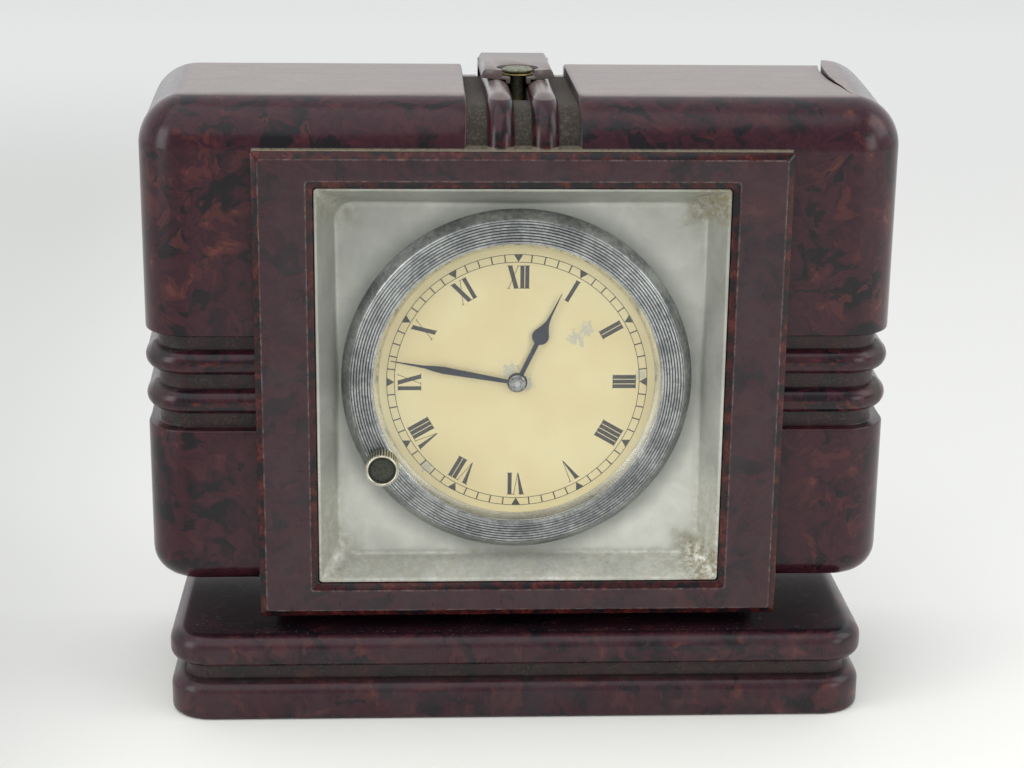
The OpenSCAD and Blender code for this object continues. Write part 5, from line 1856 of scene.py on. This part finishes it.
class DialFace(Assembly):
    """The dial with its numerals and its minute track."""

    inner: float = 26.75
    outer: float = 28.45

    def track(self) -> Piece:
        """Makes the minute track: two rings, a bar for each minute and a pointer for each hour.

        Returns:
            The track.
        """
        pattern = Pattern("minute_track")
        count = pattern.size("Minutes", 60, whole=True)
        inner = pattern.size("Inner radius", self.inner * MM)
        outer = pattern.size("Outer radius", self.outer * MM)
        line = pattern.size("Line width", 0.13 * MM)
        bar = pattern.size("Bar width", 0.27 * MM)
        ink = 0.012 * MM
        middle = (Dial.x * MM, (Dial.y - 0.005) * MM, Dial.z * MM)
        gap = pattern.math("SUBTRACT", outer, inner)
        half = pattern.math("MULTIPLY", pattern.math("ADD", outer, inner), 0.5)
        turn = pattern.circle_turns(count)
        index = pattern.node("GeometryNodeInputIndex").outputs[0]
        hour = pattern.math("LESS_THAN", pattern.math("MODULO", index, 5.0), 0.5)
        minute = pattern.math("SUBTRACT", 1.0, hour)
        bar_size = pattern.node("ShaderNodeCombineXYZ", {0: bar, 1: ink, 2: gap})
        tick = pattern.node("GeometryNodeMeshCube", {"Size": bar_size.outputs[0]})
        ticks = pattern.node("GeometryNodeInstanceOnPoints", {
            "Points": pattern.ring_points(count, half, middle), "Selection": minute,
            "Instance": tick.outputs[0], "Rotation": pattern.facing(turn)})
        wide = pattern.math("MULTIPLY", gap, 0.62)
        prism = pattern.node("GeometryNodeMeshCylinder", {"Vertices": 3, "Radius": wide, "Depth": ink})
        point = pattern.node("GeometryNodeTransform", {
            "Geometry": prism.outputs[0], "Rotation": (math.pi / 2, 0, 0)})
        down = pattern.node("GeometryNodeTransform", {
            "Geometry": point.outputs[0], "Rotation": (0, math.pi / 2, 0)})
        turned = pattern.node("GeometryNodeTransform", {
            "Geometry": down.outputs[0], "Scale": (1.05, 1.0, 1.02)})
        near = pattern.math("SUBTRACT", outer, pattern.math("MULTIPLY", gap, 0.36))
        pointers = pattern.node("GeometryNodeInstanceOnPoints", {
            "Points": pattern.ring_points(count, near, middle), "Selection": hour,
            "Instance": turned.outputs[0], "Rotation": pattern.facing(turn)})
        rings = []
        for radius in (inner, outer):
            circle = pattern.node("GeometryNodeCurvePrimitiveCircle", {"Resolution": 180, "Radius": radius})
            placed = pattern.node("GeometryNodeTransform", {
                "Geometry": circle.outputs[0], "Translation": middle, "Rotation": (math.pi / 2, 0, 0)})
            profile = pattern.node("GeometryNodeCurvePrimitiveCircle", {
                "Resolution": 6, "Radius": pattern.math("MULTIPLY", line, 0.5)})
            swept = pattern.node("GeometryNodeCurveToMesh", {
                "Curve": placed.outputs[0], "Profile Curve": profile.outputs[0]})
            rings.append(swept.outputs[0])
        joined = pattern.node("GeometryNodeJoinGeometry")
        for part in (ticks.outputs[0], pointers.outputs[0], *rings):
            pattern.tree.links.new(part, joined.inputs[0])
        return pattern.finish(joined.outputs[0], self.finishes.ink)

    def build(self) -> None:
        """Makes the dial and its printing, and dresses them."""
        disc = Shape()
        disc.turned([(2.0, 0.0), (10.0, 0.0), (20.0, 0.0), (32.9, 0.0), (32.9, 0.5), (2.0, 0.5)], 160,
                    (Dial.x, Dial.y, Dial.z))
        self.dress(disc.piece("dial_disc"), self.finishes.dial, Body.CASE, "dial_paint", "dial")
        self.dress(Numerals().shape().piece("dial_numerals"), self.finishes.ink, Body.CASE, "dial_paint",
                   "dial")
        self.dress(self.track(), None, Body.CASE, "dial_paint", "dial")


class Hands(Assembly):
    """The two hands and the nut that holds them."""

    def build(self) -> None:
        """Makes the hands and the nut, and dresses them."""
        minute = softened_copy("minute_hand", 0.07, "minute_hand_leaf")
        self.dress(minute, self.finishes.blued, Body.MINUTE, "blued_steel", "minute_hand")
        hour = softened_copy("hour_hand", 0.07, "hour_hand_spade")
        self.dress(hour, self.finishes.blued, Body.HOUR, "blued_steel", "hour_hand")
        nut = Shape()
        nut.turned(soften([(0.6, -1.25, 0), (1.87, -1.25, 0.05), (1.87, -1.45, 0.1), (1.25, -1.74, 0.25),
                           (0.6, -1.75, 0.05)], 4, closed=True), 48, (Dial.x, Dial.y, Dial.z))
        self.dress(nut.piece("hub_nut_turned"), self.finishes.nut, Body.MINUTE, "steel", "hub_nut")


class Knob(Assembly):
    """The knurled winding knob."""

    angle: float = 239.0
    reach: float = 34.6

    def build(self) -> None:
        """Makes the knob, its knurling and its disc, and dresses them."""
        middle = Dial.at(self.reach, self.angle, 0.0)
        body = Shape()
        body.turned(soften([(0.0, -7.75, 0), (2.85, -7.75, 0.1), (3.0, -8.3, 0.2), (3.25, -8.5, 0.15),
                            (3.5, -8.2, 0.2), (3.5, -3.95, 0.2), (3.2, -3.7, 0.1), (0.0, -3.7, 0)], 3), 72,
                    middle, closed=False)
        core = self.dress(body.piece("knob_body"), self.finishes.knob, Body.KNOB, "knob_metal", "knob")
        core.data.materials.append(self.finishes.disc)
        for face in core.data.polygons:
            if face.center.y > (middle[1] - 8.1) * MM:
                face.material_index = 1
        disc = Shape()
        disc.turned(soften([(0.0, -7.98, 0), (2.2, -7.95, 0.3), (2.75, -7.78, 0.1), (2.75, -7.7, 0),
                            (0.0, -7.7, 0)], 3), 48, middle, closed=False)
        self.dress(disc.piece("knob_disc"), self.finishes.disc, Body.KNOB, "knob_metal", "knob")
        pattern = Pattern("knob_knurl")
        count = pattern.size("Ribs", 36, whole=True)
        radius = pattern.size("Radius", 3.5 * MM)
        length = pattern.size("Length", 4.1 * MM)
        width = pattern.size("Rib radius", 0.185 * MM)
        rib = pattern.node("GeometryNodeMeshCylinder", {"Vertices": 8, "Radius": width, "Depth": length})
        lying = pattern.node("GeometryNodeTransform", {
            "Geometry": rib.outputs[0], "Rotation": (math.pi / 2, 0, 0)})
        place = (middle[0] * MM, (middle[1] - 6.1) * MM, middle[2] * MM)
        ribs = pattern.node("GeometryNodeInstanceOnPoints", {
            "Points": pattern.ring_points(count, radius, place), "Instance": lying.outputs[0],
            "Rotation": pattern.facing(pattern.circle_turns(count))})
        knurl = pattern.finish(ribs.outputs[0], self.finishes.knob)
        self.dress(knurl, None, Body.KNOB, "knob_metal", "knob")


class RearCover(Assembly):
    """The back cover with its tongue, and the screw that holds it."""

    def build(self) -> None:
        """Makes the cover, collar and screw, and dresses them."""
        cover = softened_copy("back_cover", 0.3, "back_cover_plate")
        self.dress(cover, self.finishes.moulding, Body.COVER, "case_plastic", "back_cover")
        collar = softened_copy("screw_collar", 0.08, "screw_collar_ring")
        self.dress(collar, self.finishes.collar, Body.COLLAR, "screw_metal", "screw_collar")
        screw = softened_copy("cover_screw", 0.08, "cover_screw_head")
        self.dress(screw, self.finishes.patina, Body.SCREW, "screw_metal", "cover_screw")


class Movement(Assembly):
    """Finishes of the CAD nodes that stay: the movement and what holds it."""

    def build(self) -> None:
        """Gives each CAD node that stays its material."""
        look = self.finishes
        groups: list[tuple[Material, list[str]]] = [
            (look.brass, ["front_plate", "back_plate", "pillars", "pallet_bridge", "winding_bridge"]),
            (look.wheel, ["centre_wheel", "hour_wheel", "minute_wheel", "setting_wheel_inner",
                          "setting_wheel_outer", "barrel", "ratchet_wheel", "winding_wheel",
                          "third_wheel", "fourth_wheel", "escape_wheel", "balance_wheel"]),
            (look.can, ["clock_can", "can_cap"]),
            (look.steel, ["centre_arbor", "cannon_pinion", "barrel_arbor", "click", "pallet_lever",
                          "winding_stem", "stem_yoke", "wheel_studs", "spring_stud", "clamp_bridge",
                          "clamp_studs", "plinth_screws"]),
            (look.spring, ["mainspring", "hairspring"]),
            (look.blued, ["plate_screws"]),
            (look.screw, ["clamp_nuts", "tray_screws", "cover_insert"]),
        ]
        for material, nodes in groups:
            for name in nodes:
                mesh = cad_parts[name].data
                mesh.materials.clear()
                mesh.materials.append(material)


class Crumbs(Assembly):
    """Loose dust on the ledges of the panel, the channel and the plinth."""

    ledges: tuple[tuple[Place, Place], ...] = (
        ((-56.5, -25.7, 127.16), (57.0, -24.7, 127.16)),
        ((-11.5, -24.5, 127.12), (11.5, -22.6, 127.12)),
        ((-56.0, -28.7, 19.5), (56.0, -28.0, 19.5)),
    )

    def build(self) -> None:
        """Scatters crumbs and dresses them."""
        shape = Shape()
        for low, high in self.ledges:
            shape.add([(low[0], low[1], low[2]), (high[0], low[1], low[2]), (high[0], high[1], low[2]),
                       (low[0], high[1], low[2])], [[0, 1, 2, 3]])
        carrier = shape.piece("dust_ledges")
        pattern = Pattern("dust_crumbs")
        density = pattern.size("Crumbs per square metre", 2200000.0)
        seed = pattern.size("Seed", 7, whole=True)
        smallest = pattern.size("Smallest", 0.02 * MM)
        largest = pattern.size("Largest", 0.075 * MM)
        spread = pattern.node("GeometryNodeDistributePointsOnFaces", {
            "Mesh": pattern.start.outputs["Geometry"], "Density": density, "Seed": seed})
        size = pattern.node("FunctionNodeRandomValue", {2: smallest, 3: largest, "Seed": seed},
                            data_type="FLOAT")
        turn = pattern.node("FunctionNodeRandomValue", {0: (0, 0, 0), 1: (6.28, 6.28, 6.28), "Seed": seed},
                            data_type="FLOAT_VECTOR")
        spin = pattern.node("FunctionNodeEulerToRotation", {0: turn.outputs[0]})
        crumb = pattern.node("GeometryNodeMeshIcoSphere", {"Radius": 1.0, "Subdivisions": 1})
        crumbs = pattern.node("GeometryNodeInstanceOnPoints", {
            "Points": spread.outputs["Points"], "Instance": crumb.outputs[0], "Rotation": spin.outputs[0],
            "Scale": size.outputs[1]})
        piece = pattern.finish(crumbs.outputs[0], self.finishes.dust, carrier)
        self.dress(piece, None, Body.CASE, "case_plastic")


@dataclass
class Studio:
    """Camera, floor and light, with the camera at the photograph's viewpoint."""

    focal: float = 2100.0
    image_w: float = 1024.0
    sensor: float = 36.0
    distance: float = 462.24
    pitch: float = 0.285942
    yaw: float = 0.048381
    roll: float = 0.011276
    aim: Place = (-1.104, 0.0, -0.583)
    floor: Place = (0.74, 0.74, 0.72)
    # Floor colours: brighter towards the front and far off, with painted shade on the left and a painted
    # shadow at the lower left.
    floor_near: Place = (0.90, 0.90, 0.86)
    floor_left_shade: Place = (0.60, 0.605, 0.585)
    floor_far: Place = (0.86, 0.86, 0.85)
    floor_shade: Place = (0.46, 0.465, 0.445)
    dim: float = 0.45
    bright: float = 1.05
    sky: Place = (0.97, 0.985, 1.0)
    lamps: tuple[tuple[str, Place, Place, Flat, float], ...] = (
        ("key", (-0.35, -0.48, 1.15), (0.0, 0.0, 0.08), (1.5, 1.4), 6.2),
        ("left", (-0.92, -0.45, 0.34), (0.0, 0.0, 0.08), (0.40, 0.66), 2.9),
        ("right", (1.05, -0.15, 0.78), (0.0, 0.0, 0.08), (0.7, 0.8), 3.6),
        ("right_low", (0.80, -0.72, 0.34), (0.0, 0.0, 0.08), (0.42, 0.50), 1.9),
    )

    def camera(self) -> None:
        """Places the camera."""
        forward = Vector((math.sin(self.yaw) * math.cos(self.pitch),
                          math.cos(self.yaw) * math.cos(self.pitch), -math.sin(self.pitch)))
        level = Vector((math.cos(self.yaw), -math.sin(self.yaw), 0.0))
        above = level.cross(forward)
        right = math.cos(self.roll) * level + math.sin(self.roll) * above
        up = -math.sin(self.roll) * level + math.cos(self.roll) * above
        middle = Vector((Dial.x, Dial.y, Dial.z))
        eye = (middle + Vector(self.aim) - self.distance * forward) * MM
        data = bpy.data.cameras.new("camera")
        data.sensor_width = self.sensor
        data.lens = self.focal * self.sensor / self.image_w
        data.clip_start = 0.01
        data.clip_end = 50.0
        camera = bpy.data.objects.new("camera", data)
        camera.matrix_world = Matrix.Translation(eye) @ Matrix((right, up, -forward)).transposed().to_4x4()
        bpy.context.scene.collection.objects.link(camera)
        bpy.context.scene.camera = camera

    def light(self) -> None:
        """Hangs the lamps and sets the world's light."""
        for name, place, aim, size, power in self.lamps:
            data = bpy.data.lights.new(name, "AREA")
            data.shape = "RECTANGLE"
            data.size, data.size_y = size
            data.energy = power
            lamp = bpy.data.objects.new(name, data)
            lamp.location = place
            lamp.rotation_euler = (Vector(aim) - Vector(place)).to_track_quat("-Z", "Y").to_euler()
            bpy.context.scene.collection.objects.link(lamp)
        world = bpy.data.worlds.new("studio")
        world.use_nodes = True
        tree = world.node_tree
        tree.nodes.clear()
        place = tree.nodes.new("ShaderNodeTexCoord")
        split = tree.nodes.new("ShaderNodeSeparateXYZ")
        rise = tree.nodes.new("ShaderNodeMapRange")
        shade_node = tree.nodes.new("ShaderNodeBackground")
        output = tree.nodes.new("ShaderNodeOutputWorld")
        tree.links.new(place.outputs["Generated"], split.inputs[0])
        tree.links.new(split.outputs[1], rise.inputs["Value"])
        for name, value in (("From Min", -0.8), ("From Max", 0.5), ("To Min", self.dim),
                            ("To Max", self.bright)):
            rise.inputs[name].default_value = value
        tree.links.new(rise.outputs[0], shade_node.inputs["Strength"])
        shade_node.inputs["Color"].default_value = (*self.sky, 1)
        tree.links.new(shade_node.outputs[0], output.inputs[0])
        bpy.context.scene.world = world

    def ground(self) -> None:
        """Lays the pale floor, brighter towards the front and far off, with painted shade on its left and a
        painted shadow at its lower left.
        """
        half = 4.0
        mesh = bpy.data.meshes.new("floor")
        mesh.from_pydata([(-half, -half, 0), (half, -half, 0), (half, half, 0), (-half, half, 0)], [],
                         [[0, 1, 2, 3]])
        floor = bpy.data.objects.new("floor", mesh)
        bpy.context.scene.collection.objects.link(floor)
        paint = Paint("floor_paper")
        # Painted shade on the left and a painted shadow at the lower left; the floor is brighter towards the
        # front and far off.
        near = paint.map(paint.axis(1), 250.0, -120.0, 0.0, 1.0)
        far = paint.map(paint.axis(1), 450.0, 1300.0)
        side = paint.map(paint.axis(0), -190.0, -70.0, 1.0, 0.0)
        colour = paint.blend(near, self.floor, self.floor_near)
        colour = paint.blend(paint.math("MULTIPLY", side, paint.map(far, 0.0, 1.0, 0.85, 0.0)), colour,
                             self.floor_left_shade)
        shade_share = paint.math("MULTIPLY", paint.map(paint.axis(0), -150.0, -60.0, 0.55, 0.0), near)
        colour = paint.blend(shade_share, colour, self.floor_shade)
        colour = paint.blend(far, colour, self.floor_far)
        mesh.materials.append(paint.surface(Base_Color=colour, Roughness=0.75))

    def build(self) -> None:
        """Sets the whole studio up."""
        self.camera()
        self.light()
        self.ground()
        bpy.context.scene.view_settings.view_transform = "Standard"


def main() -> None:
    """Builds the scene."""
    logging.basicConfig(level=logging.INFO, format="%(name)s %(message)s")
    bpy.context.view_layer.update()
    finishes = Finishes()
    steps: list[Callable[[], None]] = [Studio().build]
    groups = (Case, Plinth, Tray, ClockFront, DialFace, Hands, Knob, RearCover, Movement, Crumbs)
    steps += [group(finishes).build for group in groups]
    for step in steps:
        step()
    bpy.context.view_layer.update()


if __name__ == "__main__":
    main()
